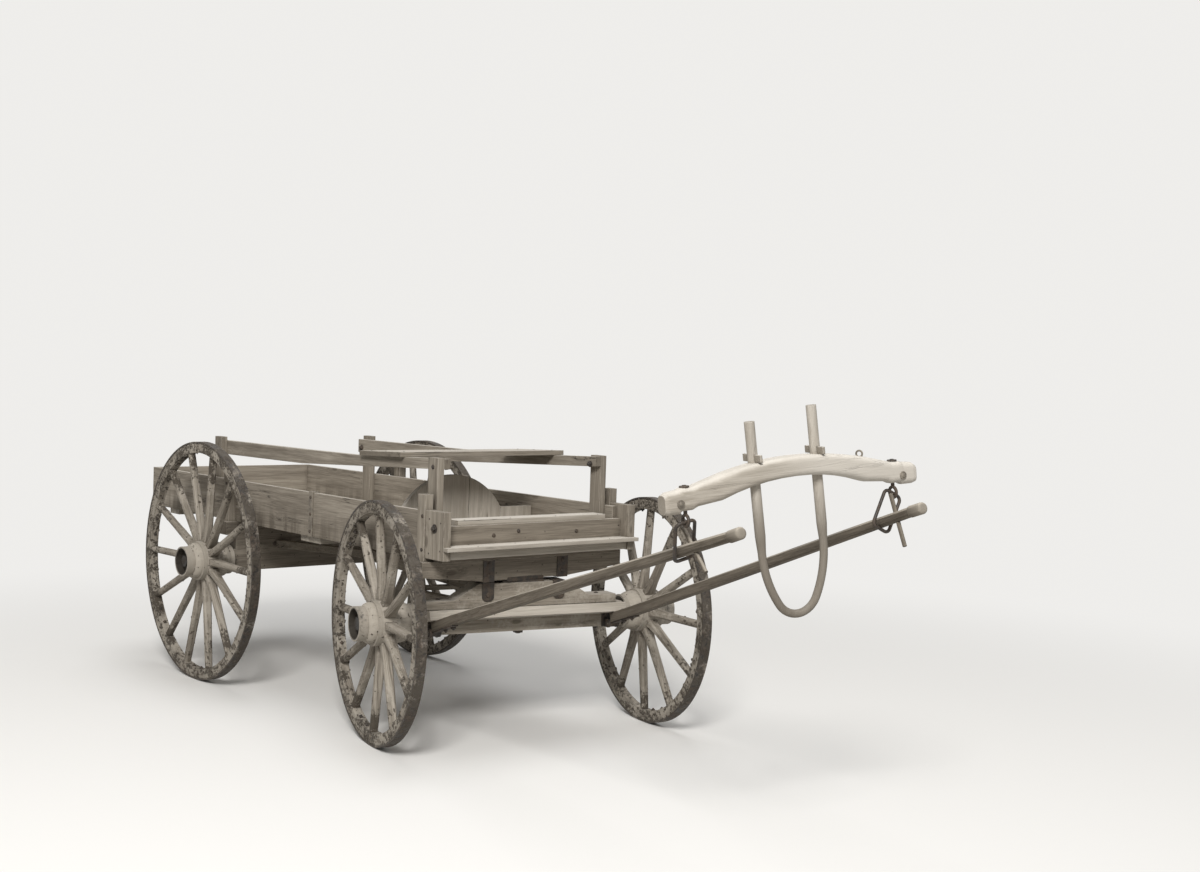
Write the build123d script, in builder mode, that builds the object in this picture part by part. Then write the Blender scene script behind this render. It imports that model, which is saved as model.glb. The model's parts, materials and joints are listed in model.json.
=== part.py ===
from build123d import *
from math import atan2, cos, radians, sin, tan
import os

# A four-wheeled, home-made farm wagon: a low plank box with raised rails on
# bolsters, wooden spoked wheels, a front axle that turns under the box on a king
# pin, and two shafts that carry a bow yoke at their front ends.
# Millimetres. Before the wagon is centred, x runs forward from the rear axle,
# y runs to the left and z runs up from the ground.

# General
GAP = 0.3            # clearance between pieces that fit in or round each other
WHEELBASE = 1950     # rear axle to king pin
TRACK = 1456         # between the middles of the tyres
STEER = -11.8        # how far the front gear is turned at rest, to the right

# Wheels
REAR_DIAMETER = 1310
FRONT_DIAMETER = 1140
REAR_SPOKES = 14
FRONT_SPOKES = 12
TYRE_WIDTH = 50
TYRE_THICKNESS = 10
FELLOE_DEPTH = 50
FELLOE_WIDTH = 46
FELLOE_JOINT = 2     # gap between two felloes
DISH = 30            # the spokes' roots lie this far inside the rim's plane
SPOKE_FOOT = 54      # foot of a spoke along the axle
SPOKE_WIDTH = 34     # foot of a spoke round the hub
SPOKE_SLIM = 0.66    # depth of a spoke at the felloe, as a share of its foot
SPOKE_FOOT_RISE = 12 # how far the square foot stands out of the hub
SPOKE_RISE = 4       # where the spoke's shaped body starts, above the hub
SPOKE_OVERLAP = 8    # the body is cut to the felloe's round from this far beyond it
TENON = 20
TENON_ROOT = 6       # how far the tenon reaches back into the spoke
TENON_END = 2        # wood left between the tenon and the tyre
MORTISE_DEPTH = 30
HUB_LENGTH = 280
HUB_STANDOUT = 85    # outer end of the hub beyond the tyre's face
HUB_RADIUS = 107
HUB_POINT_RADIUS = 75
HUB_HEEL_RADIUS = 76
HUB_RECESS_RADIUS = 70
HUB_RECESS_DEPTH = 40
HUB_BELT_MARGIN = 7  # wood of the belt on each side of the spokes' feet
HUB_STEP = 4         # step from the barrel down to a band's seat
HUB_SWELL = 7        # how full the barrel is between the belt and its ends
BAND_THICKNESS = 6
BAND_WIDTH = 22
POINT_BAND_WIDTH = 44

# Axles
ARM_RADIUS = 28
ARM_PLATE = 8
COLLAR_RADIUS = 50
COLLAR = 4
COLLAR_GAP = 0.5     # between the collar and the hub's heel
NUT_RADIUS = 34
NUT_LENGTH = 24
AXLE_HALF_DEPTH = 48
AXLE_HEIGHT = 120
FRONT_AXLE_DROP = 65 # the underside of an axle, below the middle of its wheels
REAR_AXLE_DROP = 63

# Box
BOX_REAR = -1055
FRONT_OVERHANG = 85  # the side boards' front ends, ahead of the king pin
SIDE_CLEARANCE = 193 # between the box's side and the middle of the tyres
PLANK = 25
BOX_DEPTH = 228
FLOOR_BOARDS = 5
FLOOR_BOARD_GAP = 4
SILL_HEIGHT = 35
SILLS = ((-800, 120), (820, 200))
HEAD_SETBACK = 610   # the headboard, behind the king pin
HEAD_PLANKS = 5
HEAD_PLANK_GAP = 3
HEAD_SHOULDER_DROP = 56
HEAD_RISE = 119      # the headboard's crown, above the side boards
HEAD_ARCH_HALF = 305
HEAD_BATTEN = 20
HEAD_BATTEN_WIDTH = 60
FRONT_BOARD = 35
FRONT_BOARD_DROP = 60
STEP_HEIGHT = 80     # the step's top, above the box's underside
STEP_DEPTH = 95
STEP_THICKNESS = 18
STEP_LEDGER = 50     # the ledger under the step
STEP_LEDGER_RISE = 20
FOOT_PLANK = 24
FOOT_PLANK_DEPTH = 95
FOOT_PLANK_SETBACK = 15
FOOT_PLANK_SHORT = 65
CORNER_BLOCK = 40
CORNER_BLOCK_LENGTH = 148
CORNER_BLOCK_LEAD = 95
CORNER_BLOCK_LIFT = 17
CORNER_BLOCK_RISE = 12
POST = 35
POST_WIDTH = 80
FRONT_POST_SETBACK = 57
REAR_POST_X = -290
FRONT_POST_RISE = 249
REAR_POST_RISE = 230
RAIL = 35
RAIL_JOINT_SETBACK = 1300
SEAT_SETBACK = 685
SEAT_LEAD = 65       # where the rail takes the seat's slope, behind the seat
SEAT_WIDTH = 375
SEAT_THICKNESS = 24
SEAT_SHORT = 10
STRAP = 6
STRAP_WIDTH = 38
STRAP_SETBACK = 1104

# Bolsters and running gear
BOLSTER_END = 20     # a bolster's end stands this far beyond its stake
BOLSTER_HALF_DEPTH = 50
BOLSTER_DEPTH = 109
BOLSTER_END_DEPTH = 73
BOLSTER_FLAT_HALF = 255
BOLSTER_NOTCH = 10   # from the rear bolster's shoulder to the axle arm's plate
STAKE = 45
STAKE_WIDTH = 60
STAKE_RISE = 82
SAND_HALF_DEPTH = 52
SAND_HEIGHT = 116
SAND_END_HEIGHT = 40
SAND_FLAT_HALF = 235
SAND_SHORT = 40      # the sand board's end stands this far inside the axle's
SAND_SHOULDER = 125
REACH_WIDTH = 60
REACH_HEIGHT = 62
REACH_LIFT = 7       # above the front axle
REACH_CLEAR = 6      # above the reach in the sand board's slot
REACH_SLOT_HALF = 66
REACH_SLOT_WALL = 15 # the sand board's closed front, ahead of the slot
REACH_REAR_X = -250
REACH_FRONT_SEAT = 8 # level length of the reach behind the sand board
REACH_REAR_SEAT = 12 # and ahead of the rear axle
HOUND_HEIGHT = 40
HOUND_WIDTH = 54
HOUND_FRONT_Y = 90
HOUND_REAR_Y = 273
HOUND_REAR_X = -600
REAR_HOUND_FRONT = 860
REAR_HOUND_BACK = 20 # how far the hounds' ends stand out behind the bolster
REAR_HOUND_TAPER = 170
REAR_HOUND_Y = 270
REAR_HOUND_WIDTH = 60
SWAY_BAR_DEPTH = 50
SWAY_BAR_HEIGHT = 22
SWAY_BAR_END = 13
KING_PIN_RADIUS = 12
KING_PIN_NUT = 16
KING_PIN_END = 4     # the pin's end, under its nut
KING_PIN_CLEAR = 1   # under the floor
CLIP = 5
CLIP_WIDTH = 64
CLIP_Y = 223
CLIP_DROP = 8        # the bolster clips' ends, below the box
SAND_STRAP_WIDTH = 61
SAND_STRAP_Y = 189
SAND_STRAP_REACH = 86 # down each face of the sand board
SAND_STRAP_CORNER = 22
WEAR_PLATE = 9
WEAR_PLATE_HALF = 110
WEAR_RECESS = 11     # how far the upper plate is let into the bolster

# Shafts and yoke
PIN_X = 90           # hinge pin of the shafts, ahead of the king pin
PIN_LIFT = 19        # above the front axle's underside
PIN_RADIUS = 8
PIN_END = 6
SHAFT_PITCH = 17.0
SHAFT_LENGTH = 2538
SHAFT_INSET = 75     # between a shaft's root and the end of the wooden axle
SHAFT_NARROWING = 85 # how much closer to the middle a shaft is at its tip
SHAFT_TWIST = 37     # the left shaft's tip is this much higher, the right one's lower
SHAFT_START = 26
SHAFT_IRON = 6
SHAFT_IRON_LENGTH = 250
SHAFT_EYE_CLEAR = 3  # the eye is this much smaller than an ear, in radius
SHAFT_EYE_PLAY = 1   # between the eye and an ear
EAR_GAP = 36
EAR_THICKNESS = 10
EAR_RADIUS = 20
EAR_PLATE = 8
EAR_PLATE_MARGIN = 12
EAR_PLATE_RISE = 60  # the plate's top, above the pin
CROSS_BAR_X = 27
CROSS_BAR_DEPTH = 50
CROSS_BAR_HEIGHT = 45
CROSS_BAR_END = 45
KNOB_RADIUS = 22
KNOB_LENGTH = 70
YOKE_SETBACK = 272   # the yoke, behind the shafts' tips
YOKE_RISE = 195      # the yoke, above the line of the shafts
YOKE_TILT = 5.8
YOKE_END = 93        # the beam's end, beyond its eye bolt
YOKE_END_DEPTH = 60
YOKE_MIDDLE_DEPTH = 96
YOKE_CROWN = 118
YOKE_ARCH = 46       # top of the hollow under the beam
YOKE_ARCH_HALF = 310
YOKE_ARCH_FOOT = -8
BOW_RADIUS = 19
BOW_BEND_RADIUS = 15
BOW_HALF_WIDTH = 135
BOW_SETBACK = 10
BOW_SHIFT = 15       # to the right
BOW_TILT = 3.3       # more than the beam's own tilt
BOW_TOPS = {"right": 262, "left": 283}
BOW_LIMB_END = -212
BOW_TAPER = 60
BOW_FLANK_RADIUS = 400
BOW_FLANK_TURN = 30
KEY_WIDTH = 26
KEY_THICKNESS = 10
KEY_LENGTH = 110
KEY_LIFT = 1.1       # the beam's top is round under a key
EYE_LEAD = 62        # the eye bolt, outside the shaft's tip
EYE_SEAT_HALF = 20
EYE_SEAT_TOP = 52
EYE_SEAT_BOTTOM = -28
EYE_SHANK_RADIUS = 7
EYE_RADIUS = 20
EYE_WIRE = 12
EYE_NECK = 10
EYE_WASHER_RADIUS = 18
EYE_WASHER = 5
EYE_RIVET = 3
RING_WIRE = 13
RING_INNER = 62
RING_CORNER = 12
PEG_RADIUS = 8
PEG_LENGTH = 205
PEG_DROP = 12        # the peg's middle, below the shaft's

# Worked out from the sizes above
BOX_FRONT = WHEELBASE + FRONT_OVERHANG
FRONT_FACE = BOX_FRONT + FRONT_BOARD
BLOCK_FRONT = BOX_FRONT + CORNER_BLOCK_LEAD
BOX_HALF_WIDTH = TRACK / 2 - SIDE_CLEARANCE
HEAD_X = WHEELBASE - HEAD_SETBACK
SEAT_X = WHEELBASE - SEAT_SETBACK
STRAP_X = WHEELBASE - STRAP_SETBACK
FRONT_POST_X = WHEELBASE - FRONT_POST_SETBACK
INNER_HALF = BOX_HALF_WIDTH - PLANK
REAR_RADIUS = REAR_DIAMETER / 2
FRONT_RADIUS = FRONT_DIAMETER / 2
HUB_OUT = TYRE_WIDTH / 2 + HUB_STANDOUT
HUB_IN = HUB_OUT - HUB_LENGTH
ARM_ROOT = TRACK / 2 + HUB_IN - COLLAR_GAP - ARM_PLATE
REAR_AXLE_BOTTOM = REAR_RADIUS - REAR_AXLE_DROP
REACH_REAR_BOTTOM = REAR_AXLE_BOTTOM + AXLE_HEIGHT
FRONT_AXLE_BOTTOM = FRONT_RADIUS - FRONT_AXLE_DROP
FRONT_AXLE_TOP = FRONT_AXLE_BOTTOM + AXLE_HEIGHT
REACH_FRONT_BOTTOM = FRONT_AXLE_TOP + REACH_LIFT
REACH_SLOT_TOP = REACH_FRONT_BOTTOM + REACH_HEIGHT + REACH_CLEAR
SAND_TOP = FRONT_AXLE_TOP + SAND_HEIGHT
SAND_END_TOP = FRONT_AXLE_TOP + SAND_END_HEIGHT
BOLSTER_BOTTOM = SAND_TOP + 2 * WEAR_PLATE
BOLSTER_HALF_LENGTH = BOX_HALF_WIDTH + STAKE + BOLSTER_END
BOLSTER_SHOULDER = ARM_ROOT - BOLSTER_NOTCH
BOX_BOTTOM = BOLSTER_BOTTOM + BOLSTER_DEPTH
BOX_TOP = BOX_BOTTOM + BOX_DEPTH
FLOOR_TOP = BOX_BOTTOM + PLANK
HEAD_SHOULDER = BOX_TOP - HEAD_SHOULDER_DROP
HEAD_TOP = BOX_TOP + HEAD_RISE
FRONT_BOARD_TOP = BOX_TOP - FRONT_BOARD_DROP
STEP_TOP = BOX_BOTTOM + STEP_HEIGHT
PIN_Z = FRONT_AXLE_BOTTOM + PIN_LIFT
SHAFT_ROOT_Y = ARM_ROOT - SHAFT_INSET
SHAFT_TIP_Y = SHAFT_ROOT_Y - SHAFT_NARROWING
EYE_Y = SHAFT_TIP_Y + EYE_LEAD
YOKE_HALF_LENGTH = EYE_Y + YOKE_END

# The wagon's middle, so that the origin lies under the middle of its footprint
TIP_X = PIN_X + SHAFT_LENGTH * cos(radians(SHAFT_PITCH))
YOKE_X = TIP_X - YOKE_SETBACK
YOKE_Z = PIN_Z + (YOKE_X - PIN_X) * tan(radians(SHAFT_PITCH)) + YOKE_RISE
FRONT_END = WHEELBASE + TIP_X * cos(radians(STEER)) - SHAFT_TIP_Y * sin(radians(STEER))
YOKE_FRONT_X = YOKE_X + YOKE_END_DEPTH / 2
RIGHT_END = YOKE_FRONT_X * sin(radians(STEER)) - YOKE_HALF_LENGTH * cos(radians(STEER))
WHEEL_FACE = TRACK / 2 + TYRE_WIDTH / 2
LEFT_END = WHEEL_FACE * cos(radians(STEER)) - FRONT_RADIUS * sin(radians(STEER))
WAGON = Plane(origin=(-(FRONT_END + BOX_REAR) / 2, -(LEFT_END + RIGHT_END) / 2, 0))


def placed(frame, origin, x_dir=(1, 0, 0), z_dir=(0, 0, 1)):
    """A plane given in the coordinates of another plane."""
    return Plane(frame.location * Plane(origin=origin, x_dir=x_dir, z_dir=z_dir).location)


def side_view(frame, y):
    """A sketch plane with the frame's x to the right and its z up; it faces right."""
    return placed(frame, (0, y, 0), (1, 0, 0), (0, -1, 0))


def front_view(frame, x):
    """A sketch plane with the frame's y to the right and its z up; it faces forward."""
    return placed(frame, (x, 0, 0), (0, 1, 0), (1, 0, 0))


turn = radians(STEER)
GEAR = placed(WAGON, (WHEELBASE, 0, 0), (cos(turn), sin(turn), 0))
pitch = radians(SHAFT_PITCH)
SHAFTS = placed(GEAR, (PIN_X, 0, PIN_Z), (cos(pitch), 0, sin(pitch)), (-sin(pitch), 0, cos(pitch)))
tilt = radians(YOKE_TILT)
YOKE = placed(GEAR, (YOKE_X, 0, YOKE_Z), (1, 0, 0), (0, -sin(tilt), cos(tilt)))
lean = radians(BOW_TILT)
BOW = placed(YOKE, (-BOW_SETBACK, -BOW_SHIFT, 0), (1, 0, 0), (0, -sin(lean), cos(lean)))
SIDES = (("right", -1), ("left", 1))

os.makedirs("parts", exist_ok=True)


def save(piece, name):
    piece.part.label = name
    export_step(piece.part, f"parts/{name}.step")


def slab(x0, x1, y0, y1, z0, z1, mode=Mode.ADD):
    """A box between two corners, in the plane of the part that it belongs to."""
    with Locations(((x0 + x1) / 2, (y0 + y1) / 2, (z0 + z1) / 2)):
        Box(x1 - x0, y1 - y0, z1 - z0, mode=mode)


# Wheels, each built flat: the axle along z, outwards, and the rim's middle at z = 0
def spoke_plane(radius, rim_radius):
    """A section plane across a spoke that leans outwards from the hub to the rim."""
    run = rim_radius - HUB_RADIUS
    lean = atan2(DISH, run)
    height = -DISH * (rim_radius - radius) / run
    return Plane(origin=(radius, 0, height), x_dir=(0, 1, 0), z_dir=(cos(lean), 0, sin(lean)))


def spoke_foot(rim_radius, clearance):
    """The square foot that stands in the hub's mortise."""
    start = HUB_RADIUS - MORTISE_DEPTH - clearance
    with BuildPart() as foot:
        with BuildSketch(spoke_plane(start, rim_radius)):
            Rectangle(SPOKE_WIDTH + 2 * clearance, SPOKE_FOOT + 2 * clearance)
        extrude(amount=MORTISE_DEPTH + SPOKE_FOOT_RISE)
    return foot.part


def spoke_tenon(rim_radius, clearance):
    """The square tenon that stands in the felloe's mortise."""
    with BuildPart() as tenon:
        with BuildSketch(spoke_plane(rim_radius - TENON_ROOT, rim_radius)):
            Rectangle(TENON + 2 * clearance, TENON + 2 * clearance)
        extrude(amount=TENON_ROOT + FELLOE_DEPTH - TENON_END + clearance)
    return tenon.part


def spoke_body(rim_radius):
    """The spoke between hub and felloe: square at its foot, slimmer towards the rim."""
    # Columns: share of the way out, share of the foot's width, share of its depth, edge cut
    stations = ((0.0, 1.0, 1.0, 4), (0.16, 1.08, 0.84, 9), (0.55, 1.04, 0.76, 10), (1.0, 1.0, SPOKE_SLIM, 8))
    first = HUB_RADIUS + SPOKE_RISE
    length = rim_radius + SPOKE_OVERLAP - first
    with BuildPart() as body:
        for share, wide, deep, cut in stations:
            with BuildSketch(spoke_plane(first + share * length, rim_radius)):
                octagon = Rectangle(SPOKE_WIDTH * wide, SPOKE_FOOT * deep)
                chamfer(octagon.vertices(), cut)
        loft(ruled=True)
        Cylinder(rim_radius - GAP, 4 * SPOKE_FOOT, mode=Mode.INTERSECT)
        add(spoke_foot(rim_radius, 0))
        add(spoke_tenon(rim_radius, 0))
    return body.part


def hub_shape(rim_radius, spokes):
    """The turned hub with its bore, nut recess, band seats and mortises."""
    belt = HUB_RADIUS
    belt_half = SPOKE_FOOT / 2 + HUB_BELT_MARGIN
    seat = belt - BAND_THICKNESS
    outer, inner = belt_half - DISH, -belt_half - DISH
    point, heel = HUB_OUT - POINT_BAND_WIDTH, HUB_IN + BAND_WIDTH
    bore = ARM_RADIUS + GAP
    with BuildPart() as hub:
        with BuildSketch(Plane.XZ):
            with BuildLine():
                Polyline(
                    (bore, HUB_IN), (HUB_HEEL_RADIUS, HUB_IN), (HUB_HEEL_RADIUS, heel),
                    (HUB_HEEL_RADIUS + HUB_STEP, heel),
                )
                ThreePointArc(
                    (HUB_HEEL_RADIUS + HUB_STEP, heel),
                    ((seat + HUB_HEEL_RADIUS) / 2 + HUB_SWELL, (heel + inner - BAND_WIDTH) / 2),
                    (seat - HUB_STEP, inner - BAND_WIDTH),
                )
                Polyline(
                    (seat - HUB_STEP, inner - BAND_WIDTH), (seat, inner - BAND_WIDTH), (seat, inner),
                    (belt, inner), (belt, outer), (seat, outer), (seat, outer + BAND_WIDTH),
                    (seat - HUB_STEP, outer + BAND_WIDTH),
                )
                ThreePointArc(
                    (seat - HUB_STEP, outer + BAND_WIDTH),
                    ((seat + HUB_POINT_RADIUS) / 2 + HUB_SWELL, (outer + BAND_WIDTH + point) / 2),
                    (HUB_POINT_RADIUS + HUB_STEP, point),
                )
                Polyline(
                    (HUB_POINT_RADIUS + HUB_STEP, point), (HUB_POINT_RADIUS, point),
                    (HUB_POINT_RADIUS, HUB_OUT), (HUB_RECESS_RADIUS, HUB_OUT),
                    (HUB_RECESS_RADIUS, HUB_OUT - HUB_RECESS_DEPTH), (bore, HUB_OUT - HUB_RECESS_DEPTH),
                    (bore, HUB_IN),
                )
            make_face()
        revolve(axis=Axis.Z)
        with PolarLocations(0, spokes):
            add(spoke_foot(rim_radius, GAP), mode=Mode.SUBTRACT)
    return hub.part


def hub_bands():
    """Four iron rings: two beside the spokes, one at the point and one at the heel."""
    belt_half = SPOKE_FOOT / 2 + HUB_BELT_MARGIN
    seat = HUB_RADIUS - BAND_THICKNESS
    # Columns: radius of the seat, where the ring starts along the axle, its width
    rings = (
        (seat, belt_half - DISH, BAND_WIDTH),
        (seat, -belt_half - DISH - BAND_WIDTH, BAND_WIDTH),
        (HUB_POINT_RADIUS, HUB_OUT - POINT_BAND_WIDTH, POINT_BAND_WIDTH),
        (HUB_HEEL_RADIUS, HUB_IN, BAND_WIDTH),
    )
    with BuildPart() as bands:
        for radius, start, width in rings:
            with BuildSketch(Plane.XY.offset(start)):
                Circle(radius + GAP + BAND_THICKNESS)
                Circle(radius + GAP, mode=Mode.SUBTRACT)
            extrude(amount=width)
    return bands.part


def felloe_ring(rim_radius, spokes):
    """Felloes of two spokes each, with a narrow gap between one and the next."""
    with BuildPart() as felloes:
        with BuildSketch():
            Circle(rim_radius + FELLOE_DEPTH)
            Circle(rim_radius, mode=Mode.SUBTRACT)
            with PolarLocations(rim_radius + FELLOE_DEPTH / 2, spokes // 2, start_angle=180 / spokes):
                Rectangle(2 * FELLOE_DEPTH, FELLOE_JOINT, mode=Mode.SUBTRACT)
        extrude(amount=FELLOE_WIDTH / 2, both=True)
        with PolarLocations(0, spokes):
            add(spoke_tenon(rim_radius, GAP), mode=Mode.SUBTRACT)
    return felloes.part


def tyre_ring(rim_radius):
    """The shrunk iron tyre."""
    seat = rim_radius + FELLOE_DEPTH + GAP
    with BuildPart() as tyre:
        with BuildSketch():
            Circle(seat + TYRE_THICKNESS - GAP)
            Circle(seat, mode=Mode.SUBTRACT)
        extrude(amount=TYRE_WIDTH / 2, both=True)
    return tyre.part


def spoke_set(rim_radius, spokes):
    """All the spokes of one wheel."""
    one = spoke_body(rim_radius)
    with BuildPart() as all_spokes:
        with PolarLocations(0, spokes):
            add(one)
    return all_spokes.part


def wheel_pieces(diameter, spokes):
    """The shapes of one wheel by name."""
    rim_radius = diameter / 2 - TYRE_THICKNESS - FELLOE_DEPTH
    return {
        "hub": hub_shape(rim_radius, spokes),
        "hub_bands": hub_bands(),
        "spokes": spoke_set(rim_radius, spokes),
        "felloes": felloe_ring(rim_radius, spokes),
        "tyre": tyre_ring(rim_radius),
    }


# Columns: name, frame of its axle, place along that frame, diameter, spokes
AXLES = (
    ("rear", WAGON, 0, REAR_DIAMETER, REAR_SPOKES),
    ("front", GEAR, 0, FRONT_DIAMETER, FRONT_SPOKES),
)
for end, frame, along, diameter, spokes in AXLES:
    pieces = wheel_pieces(diameter, spokes)
    for side, sign in SIDES:
        centre = (along, sign * TRACK / 2, diameter / 2)
        wheel_plane = placed(frame, centre, (1, 0, 0), (0, sign, 0))
        for piece_name, shape in pieces.items():
            with BuildPart() as wheel_piece:
                with Locations(wheel_plane.location):
                    add(shape)
            save(wheel_piece, f"{end}_{side}_{piece_name}")


# Axle arms: a plate on the wooden axle's end, a collar, the round arm and its nut
def axle_arms(frame, height):
    recess = TRACK / 2 + HUB_OUT - HUB_RECESS_DEPTH
    with BuildPart() as arms:
        for side, sign in SIDES:
            out = placed(frame, (0, sign * ARM_ROOT, height), (1, 0, 0), (0, sign, 0))
            with BuildSketch(out):
                Rectangle(2 * AXLE_HALF_DEPTH, 2 * AXLE_HALF_DEPTH)
            extrude(amount=ARM_PLATE - COLLAR)
            with BuildSketch(out.offset(ARM_PLATE - COLLAR)):
                Circle(COLLAR_RADIUS)
            extrude(amount=COLLAR)
            with BuildSketch(out):
                Circle(ARM_RADIUS)
            extrude(amount=recess + COLLAR_GAP + NUT_LENGTH - ARM_ROOT)
            with BuildSketch(out.offset(recess + COLLAR_GAP - ARM_ROOT)):
                RegularPolygon(NUT_RADIUS, 6)
            extrude(amount=NUT_LENGTH)
    return arms


save(axle_arms(WAGON, REAR_RADIUS), "rear_axle_arms")
save(axle_arms(GEAR, FRONT_RADIUS), "front_axle_arms")

# Reach: the pole from the king pin to the rear axle, level at both of its seats
with BuildPart() as reach:
    front_x = WHEELBASE
    bend_x = WHEELBASE - SAND_HALF_DEPTH - REACH_FRONT_SEAT
    rear_x = AXLE_HALF_DEPTH + REACH_REAR_SEAT
    with BuildSketch(side_view(WAGON, 0)):
        with BuildLine():
            Polyline(
                (front_x, REACH_FRONT_BOTTOM), (bend_x, REACH_FRONT_BOTTOM), (rear_x, REACH_REAR_BOTTOM),
                (REACH_REAR_X, REACH_REAR_BOTTOM), (REACH_REAR_X, REACH_REAR_BOTTOM + REACH_HEIGHT),
                (rear_x, REACH_REAR_BOTTOM + REACH_HEIGHT), (bend_x, REACH_FRONT_BOTTOM + REACH_HEIGHT),
                (front_x, REACH_FRONT_BOTTOM + REACH_HEIGHT), close=True,
            )
        make_face()
    extrude(amount=REACH_WIDTH / 2, both=True)
    with BuildSketch(placed(WAGON, (WHEELBASE, 0, REACH_FRONT_BOTTOM))):
        Circle(REACH_WIDTH / 2)
    extrude(amount=REACH_HEIGHT)
    with BuildSketch(placed(WAGON, (WHEELBASE, 0, 0))):
        Circle(KING_PIN_RADIUS + GAP)
    extrude(amount=BOX_BOTTOM, mode=Mode.SUBTRACT)
save(reach, "reach")

# Rear hounds: two braces from the rear axle forward to the reach
with BuildPart() as rear_hounds:
    hound_back = -BOLSTER_HALF_DEPTH - REAR_HOUND_BACK
    with BuildSketch(placed(WAGON, (0, 0, REACH_REAR_BOTTOM))):
        for side, sign in SIDES:
            with BuildLine():
                Polyline(
                    (hound_back, sign * (REAR_HOUND_Y + REAR_HOUND_WIDTH)),
                    (hound_back, sign * REAR_HOUND_Y),
                    (REAR_HOUND_FRONT - REAR_HOUND_TAPER, sign * REACH_WIDTH / 2),
                    (REAR_HOUND_FRONT, sign * REACH_WIDTH / 2), close=True,
                )
            make_face()
    extrude(amount=HOUND_HEIGHT)
save(rear_hounds, "rear_hounds")

# Rear axle and bolster, closed over the reach and the hounds
with BuildPart(WAGON) as rear_axle:
    slab(-AXLE_HALF_DEPTH, AXLE_HALF_DEPTH, -ARM_ROOT, ARM_ROOT, REAR_AXLE_BOTTOM, REACH_REAR_BOTTOM)
save(rear_axle, "rear_axle")

with BuildPart() as rear_bolster:
    with BuildSketch(front_view(WAGON, 0)):
        with BuildLine():
            Polyline(
                (-BOLSTER_HALF_LENGTH, BOX_BOTTOM), (BOLSTER_HALF_LENGTH, BOX_BOTTOM),
                (BOLSTER_HALF_LENGTH, BOX_BOTTOM - BOLSTER_END_DEPTH),
                (BOLSTER_SHOULDER, BOX_BOTTOM - BOLSTER_END_DEPTH), (BOLSTER_SHOULDER, REACH_REAR_BOTTOM),
                (-BOLSTER_SHOULDER, REACH_REAR_BOTTOM), (-BOLSTER_SHOULDER, BOX_BOTTOM - BOLSTER_END_DEPTH),
                (-BOLSTER_HALF_LENGTH, BOX_BOTTOM - BOLSTER_END_DEPTH), close=True,
            )
        make_face()
    extrude(amount=BOLSTER_HALF_DEPTH, both=True)
    add(reach.part, mode=Mode.SUBTRACT)
    add(rear_hounds.part, mode=Mode.SUBTRACT)
save(rear_bolster, "rear_bolster")

# Front bolster: deep in the middle, shallow at its ends, bored for the king pin
with BuildPart() as front_bolster:
    with BuildSketch(front_view(WAGON, WHEELBASE)):
        with BuildLine():
            Polyline(
                (-BOLSTER_HALF_LENGTH, BOX_BOTTOM), (BOLSTER_HALF_LENGTH, BOX_BOTTOM),
                (BOLSTER_HALF_LENGTH, BOX_BOTTOM - BOLSTER_END_DEPTH), (BOLSTER_FLAT_HALF, BOLSTER_BOTTOM),
                (-BOLSTER_FLAT_HALF, BOLSTER_BOTTOM), (-BOLSTER_HALF_LENGTH, BOX_BOTTOM - BOLSTER_END_DEPTH),
                close=True,
            )
        make_face()
    extrude(amount=BOLSTER_HALF_DEPTH, both=True)
    with BuildSketch(placed(WAGON, (WHEELBASE, 0, BOLSTER_BOTTOM))):
        Rectangle(2 * BOLSTER_HALF_DEPTH, 2 * WEAR_PLATE_HALF)
    extrude(amount=WEAR_RECESS, mode=Mode.SUBTRACT)
    with BuildSketch(placed(WAGON, (WHEELBASE, 0, 0))):
        Circle(KING_PIN_RADIUS + GAP)
    extrude(amount=BOX_BOTTOM, mode=Mode.SUBTRACT)
save(front_bolster, "front_bolster")

# Stakes at the bolsters' ends keep the box between them
with BuildPart(WAGON) as bolster_stakes:
    for x in (0, WHEELBASE):
        for side, sign in SIDES:
            inner, outer = sorted((sign * BOX_HALF_WIDTH, sign * (BOX_HALF_WIDTH + STAKE)))
            slab(x - STAKE_WIDTH / 2, x + STAKE_WIDTH / 2, inner, outer, BOX_BOTTOM, BOX_TOP + STAKE_RISE)
save(bolster_stakes, "bolster_stakes")

# Bolster irons: the wear plate let into the middle and a clip on each side of it
with BuildPart(WAGON) as bolster_irons:
    slab(
        WHEELBASE - BOLSTER_HALF_DEPTH, WHEELBASE + BOLSTER_HALF_DEPTH, -WEAR_PLATE_HALF, WEAR_PLATE_HALF,
        SAND_TOP + WEAR_PLATE + GAP, BOLSTER_BOTTOM + WEAR_RECESS,
    )
    with Locations((WHEELBASE, 0, BOLSTER_BOTTOM)):
        Cylinder(KING_PIN_RADIUS + GAP, 4 * (CLIP + WEAR_RECESS), mode=Mode.SUBTRACT)
    for side, sign in SIDES:
        low, high = sorted((sign * (CLIP_Y - CLIP_WIDTH / 2), sign * (CLIP_Y + CLIP_WIDTH / 2)))
        inner_half = BOLSTER_HALF_DEPTH
        outer_half = BOLSTER_HALF_DEPTH + CLIP
        slab(
            WHEELBASE - outer_half, WHEELBASE + outer_half, low, high,
            BOLSTER_BOTTOM - CLIP, BOX_BOTTOM - CLIP_DROP,
        )
        slab(
            WHEELBASE - inner_half, WHEELBASE + inner_half, low, high,
            BOLSTER_BOTTOM, BOX_BOTTOM, mode=Mode.SUBTRACT,
        )
save(bolster_irons, "bolster_irons")

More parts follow.
